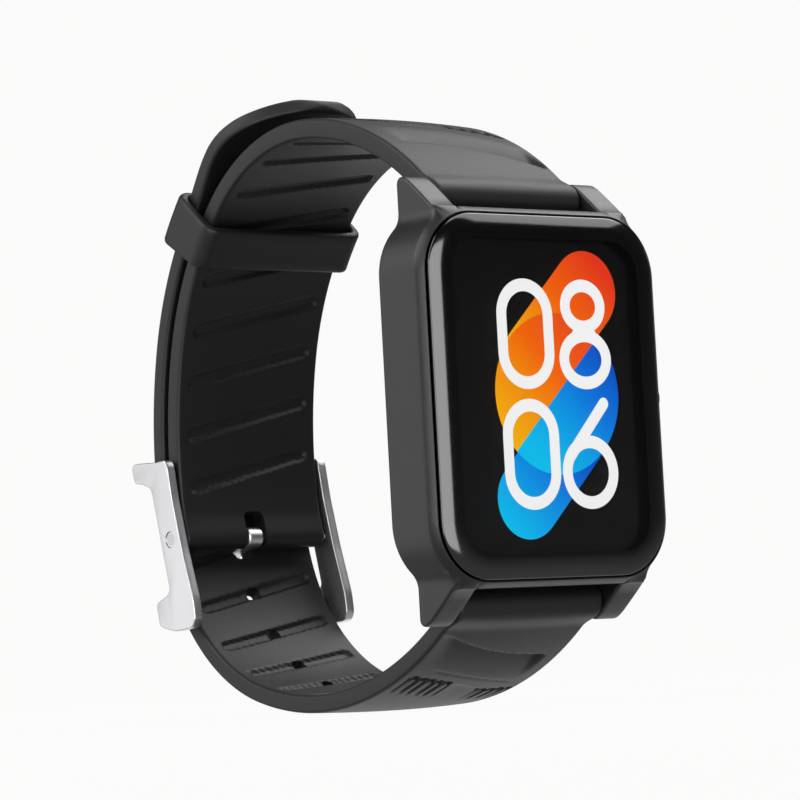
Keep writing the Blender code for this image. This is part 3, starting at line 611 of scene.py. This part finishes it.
def strap_section(half_width, half_thickness):
    """Points (x, n) round a flat section with rounded edges, starting along its outer face."""
    radius = min(STRAP_EDGE, 0.8 * half_thickness, 0.8 * half_width)
    flat_x, flat_n = half_width - radius, half_thickness - radius
    corner = np.radians(np.linspace(0.0, 90.0, 5))
    round_x = np.concatenate((flat_x + radius * np.sin(corner[1:]), flat_x + radius * np.cos(corner[:-1])))
    round_n = np.concatenate((flat_n + radius * np.cos(corner[1:]), -flat_n - radius * np.sin(corner[:-1])))
    outer_x = np.linspace(-1.0, 1.0, 78) * flat_x
    inner_x = np.linspace(1.0, -1.0, 60) * flat_x
    x = np.concatenate((outer_x, round_x, inner_x, -round_x[::-1]))
    n = np.concatenate((np.full_like(outer_x, half_thickness), round_n,
                        np.full_like(inner_x, -half_thickness), round_n[::-1]))
    return x, n


def strap_rings(path, distances, half_width, half_thickness, outside, outer, inner):
    """Rings of the strap's section, crowned outside and carved by its relief on both faces."""
    rings = []
    for s, y, z, turn in zip(distances, *at_distance(path, distances)):
        width = half_width(s)
        x, n = strap_section(width, half_thickness(s))
        place = np.full_like(x, s)
        rise = min(1.0, max(0.0, s / CROWN_RISE))
        fall = min(1.0, max(0.0, (CROWN_FADE[1] - s) / (CROWN_FADE[1] - CROWN_FADE[0])))
        crown = CROWN * rise * fall * (1.0 - (x / width) ** 2)
        n = outside * np.where(n > 0.0, n + crown - outer(x, place), n + inner(x, place))
        rings.append(np.stack((x, y - n * math.sin(turn), z + n * math.cos(turn)), 1))
    return rings


def rounded_ends(length, near_radius, far_radius):
    """Distances along a strap whose ends are rounded by a radius beyond 0 and beyond its length."""
    turns = np.radians(np.linspace(86.0, 0.0, 9))
    parts = [-near_radius * np.sin(turns)]
    parts.append(np.arange(STRAP_STEP, length - STRAP_STEP / 2, STRAP_STEP))
    if far_radius:
        parts.append(length + far_radius * np.sin(turns[::-1]))
    return np.concatenate(parts)


def end_thickness(base, length, near_radius, far_radius):
    """Half thickness that swells to a barrel at each end that has a radius."""
    def at(s):
        if s < 0.0:
            return math.sqrt(max(0.0, near_radius ** 2 - s * s))
        if far_radius and s > length:
            return math.sqrt(max(0.0, far_radius ** 2 - (s - length) ** 2))
        thickness = base + (near_radius - base) * step_in(1.0 - s / BARREL_BLEND)
        if far_radius:
            thickness += (far_radius - base) * step_in(1.0 - (length - s) / BARREL_BLEND)
        return thickness
    return at


def bore(radius, at):
    """Cutter for a hole across a strap."""
    return lathe("bore", ((radius, -BORE_REACH), (radius, BORE_REACH)), (0.0, *at[1:]))


def make_strap_upper():
    """Short half, from the bar at 12 o'clock to the buckle's pin."""
    length = UPPER_PATH[-1, 3]
    thickness = end_thickness(UPPER_THICKNESS / 2, length, BAR_BARREL, PIN_BARREL)
    distances = rounded_ends(length, BAR_BARREL, PIN_BARREL)
    rings = strap_rings(UPPER_PATH, distances, lambda s: STRAP_HALF, thickness, 1, upper_outer, upper_inner)
    strap = loft("strap_upper_silicone", rings)
    slot_turn = UPPER_PATH[-1, 2] + math.pi
    boolean(strap, [bore(BAR_BORE, UPPER_BAR), bore(PIN_BORE, PIN),
                    cuboid("slot", SLOT_LOW, SLOT_HIGH, slot_turn, PIN, 0.8)])
    dress(strap, "silicone", "case", "strap_grey", "strap_upper")


def make_strap_lower():
    """Long half, from the bar at 6 o'clock through the buckle, with its holes and its round tail."""
    length = LOWER_PATH[-1, 3]
    swell = end_thickness(LOWER_THICKNESS / 2, length, BAR_BARREL, 0.0)
    thin_length, thinning = TAIL_THINNING

    def half_width(s):
        share = max(0.0, 1.0 - (length - s) / TAIL_ROUND)
        return max(0.6, STRAP_HALF * math.sqrt(max(0.0, 1.0 - share * share)))

    def half_thickness(s):
        left = length - s
        lip = min(1.0, (left + 0.02) / TAIL_LIP)
        rounding = math.sqrt(max(0.02, 1.0 - (1.0 - lip) ** 2))
        return (swell(s) - thinning * (1.0 - min(1.0, left / thin_length))) * rounding

    tip = length - np.array([0.9, 0.7, 0.52, 0.36, 0.24, 0.14, 0.06, 0.02, 0.0])
    distances = np.concatenate((rounded_ends(length - 1.1, BAR_BARREL, 0.0), tip))
    rings = strap_rings(LOWER_PATH, distances, half_width, half_thickness, -1, lower_outer, lower_inner)
    strap = loft("strap_lower_silicone", rings)
    tools = [bore(BAR_BORE, LOWER_BAR)]
    for number in range(HOLE_COUNT):
        y, z, turn = map(float, at_distance(LOWER_PATH, HOLE_FIRST + number * HOLE_PITCH))
        takes_tongue = math.hypot(y - PIN[1], z - PIN[2]) < TONGUE_HOLE_REACH
        half_x, half_s = TONGUE_HOLE_HALF if takes_tongue else HOLE_HALF
        low, high = (-half_x, -half_s, -3.0), (half_x, half_s, 3.0)
        tools.append(cuboid(f"hole_{number}", low, high, turn, (0.0, y, z), 0.5))
    boolean(strap, tools)
    dress(strap, "silicone", "case", "strap_grey", "strap_lower")


def keeper_ring(angle, inset, half_width, near, far, corner):
    """Rounded rectangle about the keeper's axis; a positive inset makes it smaller."""
    turn = math.radians(angle)
    flat = rounded_rect(half_width - inset, (far - near) / 2 - inset, corner - inset, 10)
    radius = (near + far) / 2 + flat[:, 1]
    ring = np.stack((flat[:, 0], radius * math.cos(turn), radius * math.sin(turn)), 1)
    return ring + np.array((0.0, *KEEPER_CENTRE[1:]))


def make_keeper():
    """Moulded loop swept about the arc that it slides on, with softened rims."""
    low, high = KEEPER_ANGLES
    middle = (KEEPER_OUTSIDE[1] + KEEPER_OUTSIDE[2]) / 2
    stations = [(low + math.degrees(along / middle), inset) for along, inset in KEEPER_SOFT]
    stations += [(low + (high - low) * share, 0.0) for share in (0.25, 0.5, 0.75)]
    stations += [(high - math.degrees(along / middle), inset) for along, inset in reversed(KEEPER_SOFT)]
    rings = [keeper_ring(angle, inset, *KEEPER_OUTSIDE) for angle, inset in stations]
    rings += [keeper_ring(angle, -0.6 * inset, *KEEPER_INSIDE) for angle, inset in reversed(stations)]
    keeper = loft("keeper_silicone", rings, closed=True)
    dress(keeper, "silicone", "keeper", "strap_grey", "keeper_loop")


# -------------------- case

def case_quarter(half_x, half_z, corner, inset, lug_top, share):
    """Outline of the +X +Z quarter from (half_x, 0) to (0, half_z), with a lug grown by share."""
    width, height, round_corner = half_x - inset, half_z - inset, corner - inset
    centre_x, centre_z = half_x - corner, half_z - corner
    outer, inner, top = LUG_OUTER - inset, LUG_INNER + inset, lug_top - inset
    fillet = LUG_FILLET + inset
    fillet_x = outer + fillet
    base_x, base_z = CASE_HALF[0] - CASE_CORNER, CASE_HALF[1] - CASE_CORNER
    run = LUG_OUTER + LUG_FILLET - base_x
    rise = math.sqrt((CASE_CORNER + LUG_FILLET) ** 2 - run ** 2)
    fillet_z = base_z + rise
    meet = math.atan2(rise, run)
    leave = math.acos(min(1.0, max(0.0, (LUG_INNER - centre_x) / corner)))

    def on_corner(turns):
        return [(centre_x + round_corner * math.cos(a), centre_z + round_corner * math.sin(a))
                for a in turns]

    def steps(first, last, count):
        return np.linspace(first, last, count)[1:]

    bends = [(LUG_EDGE * (1 - math.cos(a)), LUG_EDGE * (1 - math.sin(a)))
             for a in steps(0.0, math.pi / 2, 5)]
    lug = [(fillet_x - fillet * math.cos(a), fillet_z - fillet * math.sin(a)) for a in steps(meet, 0.0, 9)]
    lug += [(outer, z) for z in steps(fillet_z, max(fillet_z, top - LUG_EDGE), 5)]
    lug += [(outer - near, top - far) for near, far in bends]
    lug += [(x, top) for x in steps(outer - LUG_EDGE, inner + LUG_EDGE, 5)]
    lug += [(inner + far, top - near) for near, far in bends]
    lug += [(inner, z) for z in steps(top - LUG_EDGE, height, 5)]
    body = on_corner(steps(meet, leave, len(lug) + 1))

    points = [(width, z) for z in np.linspace(0.0, centre_z, 6)[:-1]]
    points += on_corner(np.linspace(0.0, meet, 14))
    points += [tuple(np.array(b) + share * (np.array(p) - np.array(b))) for b, p in zip(body, lug)]
    points += [(points[-1][0], height)] * 3 if share else on_corner(steps(leave, math.pi / 2, 4))
    points += [(x, height) for x in np.linspace(points[-1][0], 0.0, 7)[1:-1]]
    return points


def case_ring(y, half_x, half_z, corner, inset=0.0, lug_top=LUG_TOP, share=0.0):
    """Whole outline at depth y, from its quarter."""
    quarter = np.array(case_quarter(half_x, half_z, corner, inset, lug_top, share))
    flat = np.concatenate((quarter, quarter[::-1] * (-1, 1), -quarter, quarter[::-1] * (1, -1)))
    return np.stack((flat[:, 0], np.full(len(flat), y), flat[:, 1]), 1)


def make_case():
    """Closed skin: bezel, sides and lugs outside; recess, cavity and glass pocket inside."""
    rings = [case_ring(y, *CASE_HALF, CASE_CORNER, *shape) for y, *shape in CASE_LEVELS]
    rings += [case_ring(CASE_BACK, *grown(RECESS, 0.12)), case_ring(CASE_BACK - 0.1, *RECESS),
              case_ring(RECESS_FLOOR, *RECESS), case_ring(RECESS_FLOOR, *CAVITY),
              case_ring(POCKET_FLOOR, *CAVITY), case_ring(POCKET_FLOOR, *POCKET),
              case_ring(-10.02, *POCKET), case_ring(-10.1, *grown(POCKET, 0.06))]
    case = loft("case_body", rings, closed=True, angle=CASE_SMOOTH_ANGLE)
    cutter = lathe("button_bore", BUTTON_BORE, (0.0, *BUTTON[1:]))
    boolean(case, [cutter], solver="EXACT", angle=CASE_SMOOTH_ANGLE)
    dress(case, "case", "case", "case_grey", "case_frame")


def grown(outline, margin):
    """Rounded rectangle (half x, half z, corner) made larger all round."""
    return tuple(size + margin for size in outline)


def make_glass():
    """Pane with a quarter-ellipse edge, and the black border printed under it."""
    outline = (*GLASS_HALF, GLASS_CORNER)
    shoulder = low_mm("cover_glass")[1] + GLASS_ROUND
    levels = [(GLASS_BACK, 0.12), (GLASS_BACK - 0.08, 0.03), (GLASS_BACK - 0.15, 0.0), (shoulder, 0.0)]
    levels += [(shoulder - rise, inset) for rise, inset in GLASS_EDGE]
    glass = loft("cover_glass_pane", plate_rings([(y, *grown(outline, -inset)) for y, inset in levels], 16),
                 angle=60.0)
    dress(glass, "glass", "case", "glass_black", "cover_glass")
    glass.data.materials.append(MATERIALS["glass_edge"])
    for face in glass.data.polygons:
        flat = len(face.vertices) > 4
        face.material_index = 0 if flat else 1
        face.use_smooth = not flat
    back, front = PRINT_DEPTHS
    outside, inside = grown(outline, PRINT_MARGIN), (*DISPLAY_HALF, DISPLAY_CORNER)
    levels = ((front, *outside), (back, *outside), (back, *inside), (front, *inside))
    dress(loft("glass_border_print", plate_rings(levels), closed=True), "print", "case", "glass_black")


# -------------------- display picture

def flat_shape(name, outline, y, holes=()):
    """Filled outline facing the front at depth y."""
    curve = bpy.data.curves.new(name, "CURVE")
    curve.dimensions = "2D"
    curve.fill_mode = "BOTH"
    for points in (outline, *holes):
        spline = curve.splines.new("POLY")
        spline.points.add(len(points) - 1)
        for point, (x, z) in zip(spline.points, points):
            point.co = (x * MM, z * MM, 0.0, 1.0)
        spline.use_cyclic_u = True
    holder = place(name, curve)
    mesh = evaluated_mesh(holder)
    bpy.data.objects.remove(holder, do_unlink=True)
    mesh.transform(Matrix.Translation((0.0, y * MM, 0.0)) @ Matrix.Rotation(math.pi / 2, 4, "X"))
    return place(name, mesh)


def arc(centre, half_x, half_z, start, end, count):
    """Points along an ellipse from start to end degrees."""
    turns = np.radians(np.linspace(start, end, count))
    return [(centre[0] + half_x * math.cos(t), centre[1] + half_z * math.sin(t)) for t in turns]


def oval(centre, half_x, half_z, count=72):
    """Closed ellipse."""
    return arc(centre, half_x, half_z, 0.0, 360.0, count + 1)[:-1]


def half_disc(centre, radius, middle):
    """Half of a disc whose arc has its middle at an angle in degrees."""
    return arc(centre, radius, radius, middle - 90.0, middle + 90.0, 64)


def capsule(a, b, radius):
    """Outline round the segment from a to b."""
    heading = math.degrees(math.atan2(b[1] - a[1], b[0] - a[0]))
    return (arc(b, radius, radius, heading - 90.0, heading + 90.0, 24)
            + arc(a, radius, radius, heading + 90.0, heading + 270.0, 24))


def stroke(points, width):
    """Outline of a round-ended line of even width through points."""
    line = np.array(points, float)
    steps = np.diff(line, axis=0)
    steps /= np.linalg.norm(steps, axis=1)[:, None]
    along = np.vstack((steps[:1], steps)) + np.vstack((steps, steps[-1:]))
    along /= np.linalg.norm(along, axis=1)[:, None]
    side = np.stack((-along[:, 1], along[:, 0]), 1) * width / 2
    ends = []
    for centre, way in ((line[-1], along[-1]), (line[0], -along[0])):
        heading = math.degrees(math.atan2(way[1], way[0]))
        ends.append(arc(centre, width / 2, width / 2, heading - 90.0, heading + 90.0, 12))
    return [*map(tuple, line - side), *ends[0], *map(tuple, (line + side)[::-1]), *ends[1]]


def numeral_zero(name, centre, y):
    """Tall ring with straight sides."""
    half_x, half_z = 4.3, 6.5
    hole_x, hole_z = half_x - NUMERAL_STROKE, half_z - NUMERAL_STROKE
    outer = rounded_rect(half_x, half_z, half_x, 20) + centre
    inner = rounded_rect(hole_x, hole_z, hole_x, 20) + centre
    return flat_shape(name, outer, y, (inner,))


def numeral_eight(name, centre, y):
    """Two joined ovals, the lower one larger."""
    x, z = centre
    upper, lower = ((x, z + 3.35), 3.5, 3.2), ((x, z - 2.95), 4.05, 3.55)
    outline = arc(*upper, -62.0, 242.0, 60) + arc(*lower, 118.0, 422.0, 60)
    holes = [oval(middle, half_x - NUMERAL_STROKE, half_z - NUMERAL_STROKE)
             for middle, half_x, half_z in (upper, lower)]
    return flat_shape(name, outline, y, holes)


def numeral_six(name, centre, y):
    """Round bowl joined with a slanted stem that runs into its left side."""
    x, z = centre
    bowl, radius = (x, z - 2.2), 4.35
    middle_line = radius - NUMERAL_STROKE / 2
    line = [(x + 2.6, z + 5.9), *arc(bowl, middle_line, middle_line, 150.0, 170.0, 8)]
    stem = flat_shape(f"{name}_stem", stroke(line, NUMERAL_STROKE), y - 0.004)
    hole = oval(bowl, radius - NUMERAL_STROKE, radius - NUMERAL_STROKE)
    numeral = flat_shape(name, oval(bowl, radius, radius), y, (hole,))
    bm = bmesh.new()
    bm.from_mesh(numeral.data)
    bm.from_mesh(stem.data)
    bm.to_mesh(numeral.data)
    bm.free()
    bpy.data.objects.remove(stem, do_unlink=True)
    return numeral


def make_picture():
    """Generic clock face: hour over minutes on round and bar shapes with warm and cool gradients."""
    diagonal = (math.sqrt(0.5), math.sqrt(0.5))
    warm = ((0.0, (1.0, 0.52, 0.0)), (0.55, (1.0, 0.14, 0.0)), (1.0, (0.86, 0.04, 0.01)))
    cool = ((0.0, (0.0, 0.56, 0.93)), (0.55, (0.0, 0.2, 0.8)), (1.0, (0.0, 0.02, 0.5)))
    disc_depth, top = PICTURE_DEPTH - 0.01, PICTURE_DEPTH - 0.02
    shapes = {
        "picture_bar_warm": (capsule((-1.6, 4.0), (6.8, 12.4), 4.9), PICTURE_DEPTH, warm, (0.0, 17.5)),
        "picture_bar_cool": (capsule((-3.6, -12.0), (4.2, -4.2), 4.75), PICTURE_DEPTH, cool, (-16.0, 2.0)),
        "picture_disc_warm": (half_disc((1.7, 0.3), 9.55, 135.0), disc_depth, warm, (-9.0, 13.0)),
        "picture_disc_cool": (half_disc((1.7, 0.3), 9.55, -45.0), disc_depth, cool, (-6.0, 13.0)),
    }
    for name, (outline, y, stops, span) in shapes.items():
        piece = flat_shape(name, outline, y)
        MATERIALS[name] = lit_gradient(name, diagonal, span, stops, 0.95)
        dress(piece, name, "case", "panel_black")
    white = ((0.0, (0.94, 0.94, 0.94)), (1.0, (0.97, 0.97, 0.97)))
    MATERIALS["numerals"] = lit_gradient("numerals", diagonal, (-20.0, 20.0), white, 1.0)
    for piece in (numeral_zero("numeral_hour_tens", (-2.75, 7.33), top),
                  numeral_zero("numeral_minute_tens", (-2.75, -6.8), top),
                  numeral_eight("numeral_hour_ones", (6.35, 7.33), top),
                  numeral_six("numeral_minute_ones", (6.2, -6.8), top)):
        dress(piece, "numerals", "case", "panel_black")


# -------------------- back of the case

def make_rear_cover():
    """Shell with a raised, dished ring for the sensor window, and holes for screws and contacts."""
    cover = loft("rear_cover_shell", plate_rings(COVER_LEVELS))
    dish = [(12.4 - 1.4 * math.sin(t) - 2.0 * t, COVER_BACK + 0.62 * math.sin(1.3 * t))
            for t in np.linspace(0.0, 1.2, 10)]
    ring = [(12.6, -2.4), (12.6, -1.45), *dish, (8.4, -0.4), (8.2, -0.3), (7.4, -0.3)]
    boolean(cover, [lathe("boss", ring, ORIGIN, "Y", 96)], "UNION")
    tools = [lathe("seat", ((7.15, -1.75), (7.15, 1.0)), ORIGIN, "Y", 96),
             lathe("light_well", ((5.6, -4.0), (5.6, 1.0)), ORIGIN, "Y")]
    holes = {f"rear_cover_screw_{number}": SCREW_HOLE for number in (1, 2, 3, 4)}
    holes |= {f"charging_contact_{number}": CONTACT_HOLE for number in (1, 2)}
    for node, profile in holes.items():
        x, _, z = centre_mm(node)
        tools.append(lathe(f"{node}_hole", profile, (x, 0.0, z), "Y", 40))
    boolean(cover, tools)
    dress(cover, "cover", "case", "cover_black", "rear_cover")
    window = lathe("sensor_window_lens", WINDOW_PROFILE, ORIGIN, "Y", 96)
    dress(window, "window", "case", "window_dark", "sensor_window")


def make_button():
    """Cap with a grooved rim and a domed face, on a stepped stem."""
    radius, rim = BUTTON_DOME
    rise = high_mm("side_button")[0] - rim
    turns = np.linspace(0.0, math.pi / 2, 11)[1:]
    dome = [(radius * math.cos(t), rim + rise * math.sin(t)) for t in turns]
    button = lathe("side_button_cap", [*BUTTON_SIDE, (radius, rim), *dome], (0.0, *BUTTON[1:]))
    dress(button, "button", "button", "button_black", "side_button")


# -------------------- buckle

def round_corners(points, radius, steps=6):
    """Polygon with each corner replaced by an arc of at most the given radius."""
    points = [np.array(p, float) for p in points]
    result = []
    for i, corner in enumerate(points):
        back, ahead = points[i - 1] - corner, points[(i + 1) % len(points)] - corner
        reach = min(radius, 0.45 * np.linalg.norm(back), 0.45 * np.linalg.norm(ahead))
        a = corner + back / np.linalg.norm(back) * reach
        b = corner + ahead / np.linalg.norm(ahead) * reach
        for t in np.linspace(0.0, 1.0, steps):
            result.append((1 - t) ** 2 * a + 2 * t * (1 - t) * corner + t * t * b)
    return np.array(result)


def buckle_bar(name, outline, low_x, high_x, edge, radius):
    """Outline in buckle axes run across X, tilted with the buckle, its edges softened."""
    flat = round_corners(outline, radius)
    tilt = math.radians(-BUCKLE_TILT)
    y = PIN[1] + flat[:, 0] * math.cos(tilt) - flat[:, 1] * math.sin(tilt)
    z = PIN[2] + flat[:, 0] * math.sin(tilt) + flat[:, 1] * math.cos(tilt)
    rings = [np.stack((np.full(len(flat), x), y, z), 1) for x in (low_x, high_x)]
    return bevel(loft(name, rings), edge, 60.0)


def make_buckle():
    """Frame of two arms and two crossbars, the pin through both arms, and the tongue on the pin."""
    frame_piece = buckle_bar("buckle_satin_frame", BUCKLE_ARM, -BUCKLE_OUTER, -BUCKLE_INNER, 0.16, 0.7)
    far = buckle_bar("arm", BUCKLE_ARM, BUCKLE_INNER, BUCKLE_OUTER, 0.16, 0.7)
    reach = BUCKLE_INNER + 0.5
    bars = [buckle_bar("crossbar", outline, -reach, reach, 0.05, 0.4)
            for outline in (UPPER_CROSSBAR, LOWER_CROSSBAR)]
    boolean(frame_piece, [far, *bars], "UNION")
    bores = [lathe("pin_hole", ((1.06, side * 12.1), (1.06, side * 14.0)), PIN) for side in (-1, 1)]
    boolean(frame_piece, bores)
    dress(frame_piece, "satin", "buckle", "buckle_satin", "buckle_frame")

    mirrored = [(radius, -along) for radius, along in reversed(PIN_HALF)]
    pin = lathe("buckle_pin_bar", [*mirrored, *PIN_HALF], PIN)
    dress(pin, "steel", "buckle", "pin_steel", "buckle_pin")

    tongue = buckle_bar("buckle_tongue_satin", TONGUE_ARM, -1.1, 1.1, 0.18, 0.5)
    ring = lathe("ring", ((1.15, -1.1), (1.3, -0.95), (1.3, 0.95), (1.15, 1.1)), PIN)
    boolean(tongue, [ring], "UNION")
    boolean(tongue, [lathe("eye", ((0.77, -3.0), (0.77, 3.0)), PIN)])
    dress(tongue, "satin", "tongue", "buckle_satin", "buckle_tongue")


# -------------------- CAD nodes that stay

KEPT = {
    "steel": ("button_clip", "processor_shield", "side_switch", "vibration_motor_can",
              *(f"rear_cover_screw_{number}" for number in (1, 2, 3, 4)),
              *(f"charging_magnet_{number}" for number in (1, 2)),
              *(f"{half}_bar_{part}" for half in ("upper", "lower")
                for part in ("tube", "tip_left", "tip_right", "spring"))),
    "gold": ("charging_contact_1", "charging_contact_2"),
    "rubber": ("rear_cover_gasket", "button_oring"),
    "board": ("main_board",),
    "dark_board": ("sensor_board",),
    "led": ("sensor_led_1", "sensor_led_2"),
    "diode": ("photodiode",),
    "foil": ("battery",),
    "flex": ("display_flex_cable",),
    "alloy": ("inner_frame",),
    "tungsten": ("vibration_motor_rotor",),
    "white": ("switch_plunger",),
    "glue": ("glass_adhesive",),
    "panel": ("display_panel",),
}


def dress_kept_nodes():
    """Puts the studio's own materials on the nodes that stay."""
    for material, names in KEPT.items():
        for name in names:
            node = frame["nodes"][name]
            if not node.material_slots:
                node.data.materials.append(MATERIALS[material])
            for slot in node.material_slots:
                slot.material = MATERIALS[material]


# -------------------- studio

# metres: direction from the object, distance, size, radiance, and whether matt surfaces see the box
LIGHTS = {
    "top_box": ((0.5, -0.08, 0.86), 0.62, (0.7, 0.6), 2.1, True),
    "rim_box": ((0.62, 0.1, 0.77), 0.6, (0.26, 0.26), 2.6, False),
    "back_left_box": ((-0.75, 0.65, 0.08), 0.7, (0.9, 0.9), 0.95, True),
    "front_strip": ((-0.2, -0.97, 0.07), 0.65, (0.5, 0.62), 3.6, False),
    "left_strip": ((-0.8, -0.6, 0.05), 0.65, (0.34, 0.5), 3.6, False),
    "top_left_box": ((-0.72, 0.2, 0.66), 0.65, (0.5, 0.5), 3.0, True),
    "low_box": ((0.55, 0.6, -0.58), 0.62, (0.6, 0.6), 0.7, True),
}
LIGHT_AIM = (0.0, 0.01, 0.0)
PAPER_WHITE = (1.0, 1.0, 0.995, 1.0)
FLOOR_HALF = 30.0
CAMERA_LENS = 171.73
CAMERA_PLACE = (-0.293485, -0.346659, -0.03004)
CAMERA_TURN = (93.91667, 3.05999, -38.660035)


def soft_box(name, way, distance, size, radiance, diffuse):
    """Rectangular light seen from the object in a direction, at a distance, aimed back at the object."""
    way = Vector(way).normalized()
    lamp = bpy.data.lights.new(name, "AREA")
    lamp.shape = "RECTANGLE"
    lamp.size, lamp.size_y = size
    lamp.energy = radiance * math.pi * size[0] * size[1]
    item = place(name, lamp)
    item.location = way * distance + Vector(LIGHT_AIM)
    item.rotation_euler = (-way).to_track_quat("-Z", "Y").to_euler()
    item.visible_diffuse = diffuse


def make_studio():
    """Pale paper floor that the studio's light passes over, and the soft boxes of LIGHTS."""
    low_z = CAD_BOX[0][2] / MM
    half = FLOOR_HALF / MM
    corners = [(-half, -half, low_z), (half, -half, low_z), (half, half, low_z), (-half, half, low_z)]
    floor = mesh_piece("studio_floor", corners, [(0, 1, 2, 3)])
    paper = surface("studio_paper", grey(0.012), grey(0.014), (0.8, 0.9), mottle=3.0, grain=500.0,
                    bump=0.01, Specular_IOR_Level=0.0, Emission_Color=PAPER_WHITE, Emission_Strength=0.955)
    floor.data.materials.append(paper)
    for ray in ("diffuse", "glossy", "shadow", "transmission"):
        setattr(floor, f"visible_{ray}", False)
    for name, settings in LIGHTS.items():
        soft_box(name, *settings)
    make_world()


def make_world():
    """Dim studio air, lighter below, for light and gloss, and a white backdrop behind the object."""
    world = bpy.data.worlds.new("studio")
    bpy.context.scene.world = world
    world.use_nodes = True
    tree = world.node_tree
    tree.nodes.clear()
    output = add_node(tree, "ShaderNodeOutputWorld")
    mix = add_node(tree, "ShaderNodeMixShader")
    dim = add_node(tree, "ShaderNodeBackground")
    dim.inputs["Color"].default_value = (1.0, 1.0, 1.0, 1.0)
    ways = add_node(tree, "ShaderNodeSeparateXYZ")
    tree.links.new(add_node(tree, "ShaderNodeTexCoord").outputs["Generated"], ways.inputs["Vector"])
    tree.links.new(ranged(tree, ways.outputs["Z"], 0.35, 0.045, -0.5, 0.1), dim.inputs["Strength"])
    white = add_node(tree, "ShaderNodeBackground")
    white.inputs["Color"].default_value = PAPER_WHITE
    white.inputs["Strength"].default_value = 0.96
    path = add_node(tree, "ShaderNodeLightPath")
    tree.links.new(path.outputs["Is Camera Ray"], mix.inputs["Fac"])
    tree.links.new(dim.outputs["Background"], mix.inputs[1])
    tree.links.new(white.outputs["Background"], mix.inputs[2])
    tree.links.new(mix.outputs["Shader"], output.inputs["Surface"])


def make_camera():
    """Long lens at the front left, a little below the middle of the case and slightly rolled."""
    camera = bpy.data.cameras.new("camera")
    camera.sensor_width = 36.0
    camera.lens = CAMERA_LENS
    camera.clip_start = 0.01
    item = place("camera", camera)
    item.location = CAMERA_PLACE
    item.rotation_euler = [math.radians(degrees) for degrees in CAMERA_TURN]
    bpy.context.scene.camera = item


# -------------------- build

MATERIALS = make_materials()
make_strap_upper()
make_strap_lower()
make_keeper()
make_case()
make_glass()
make_picture()
make_rear_cover()
make_button()
make_buckle()
dress_kept_nodes()
make_studio()
make_camera()
bpy.context.scene.view_settings.view_transform = "Standard"

bpy.context.view_layer.update()
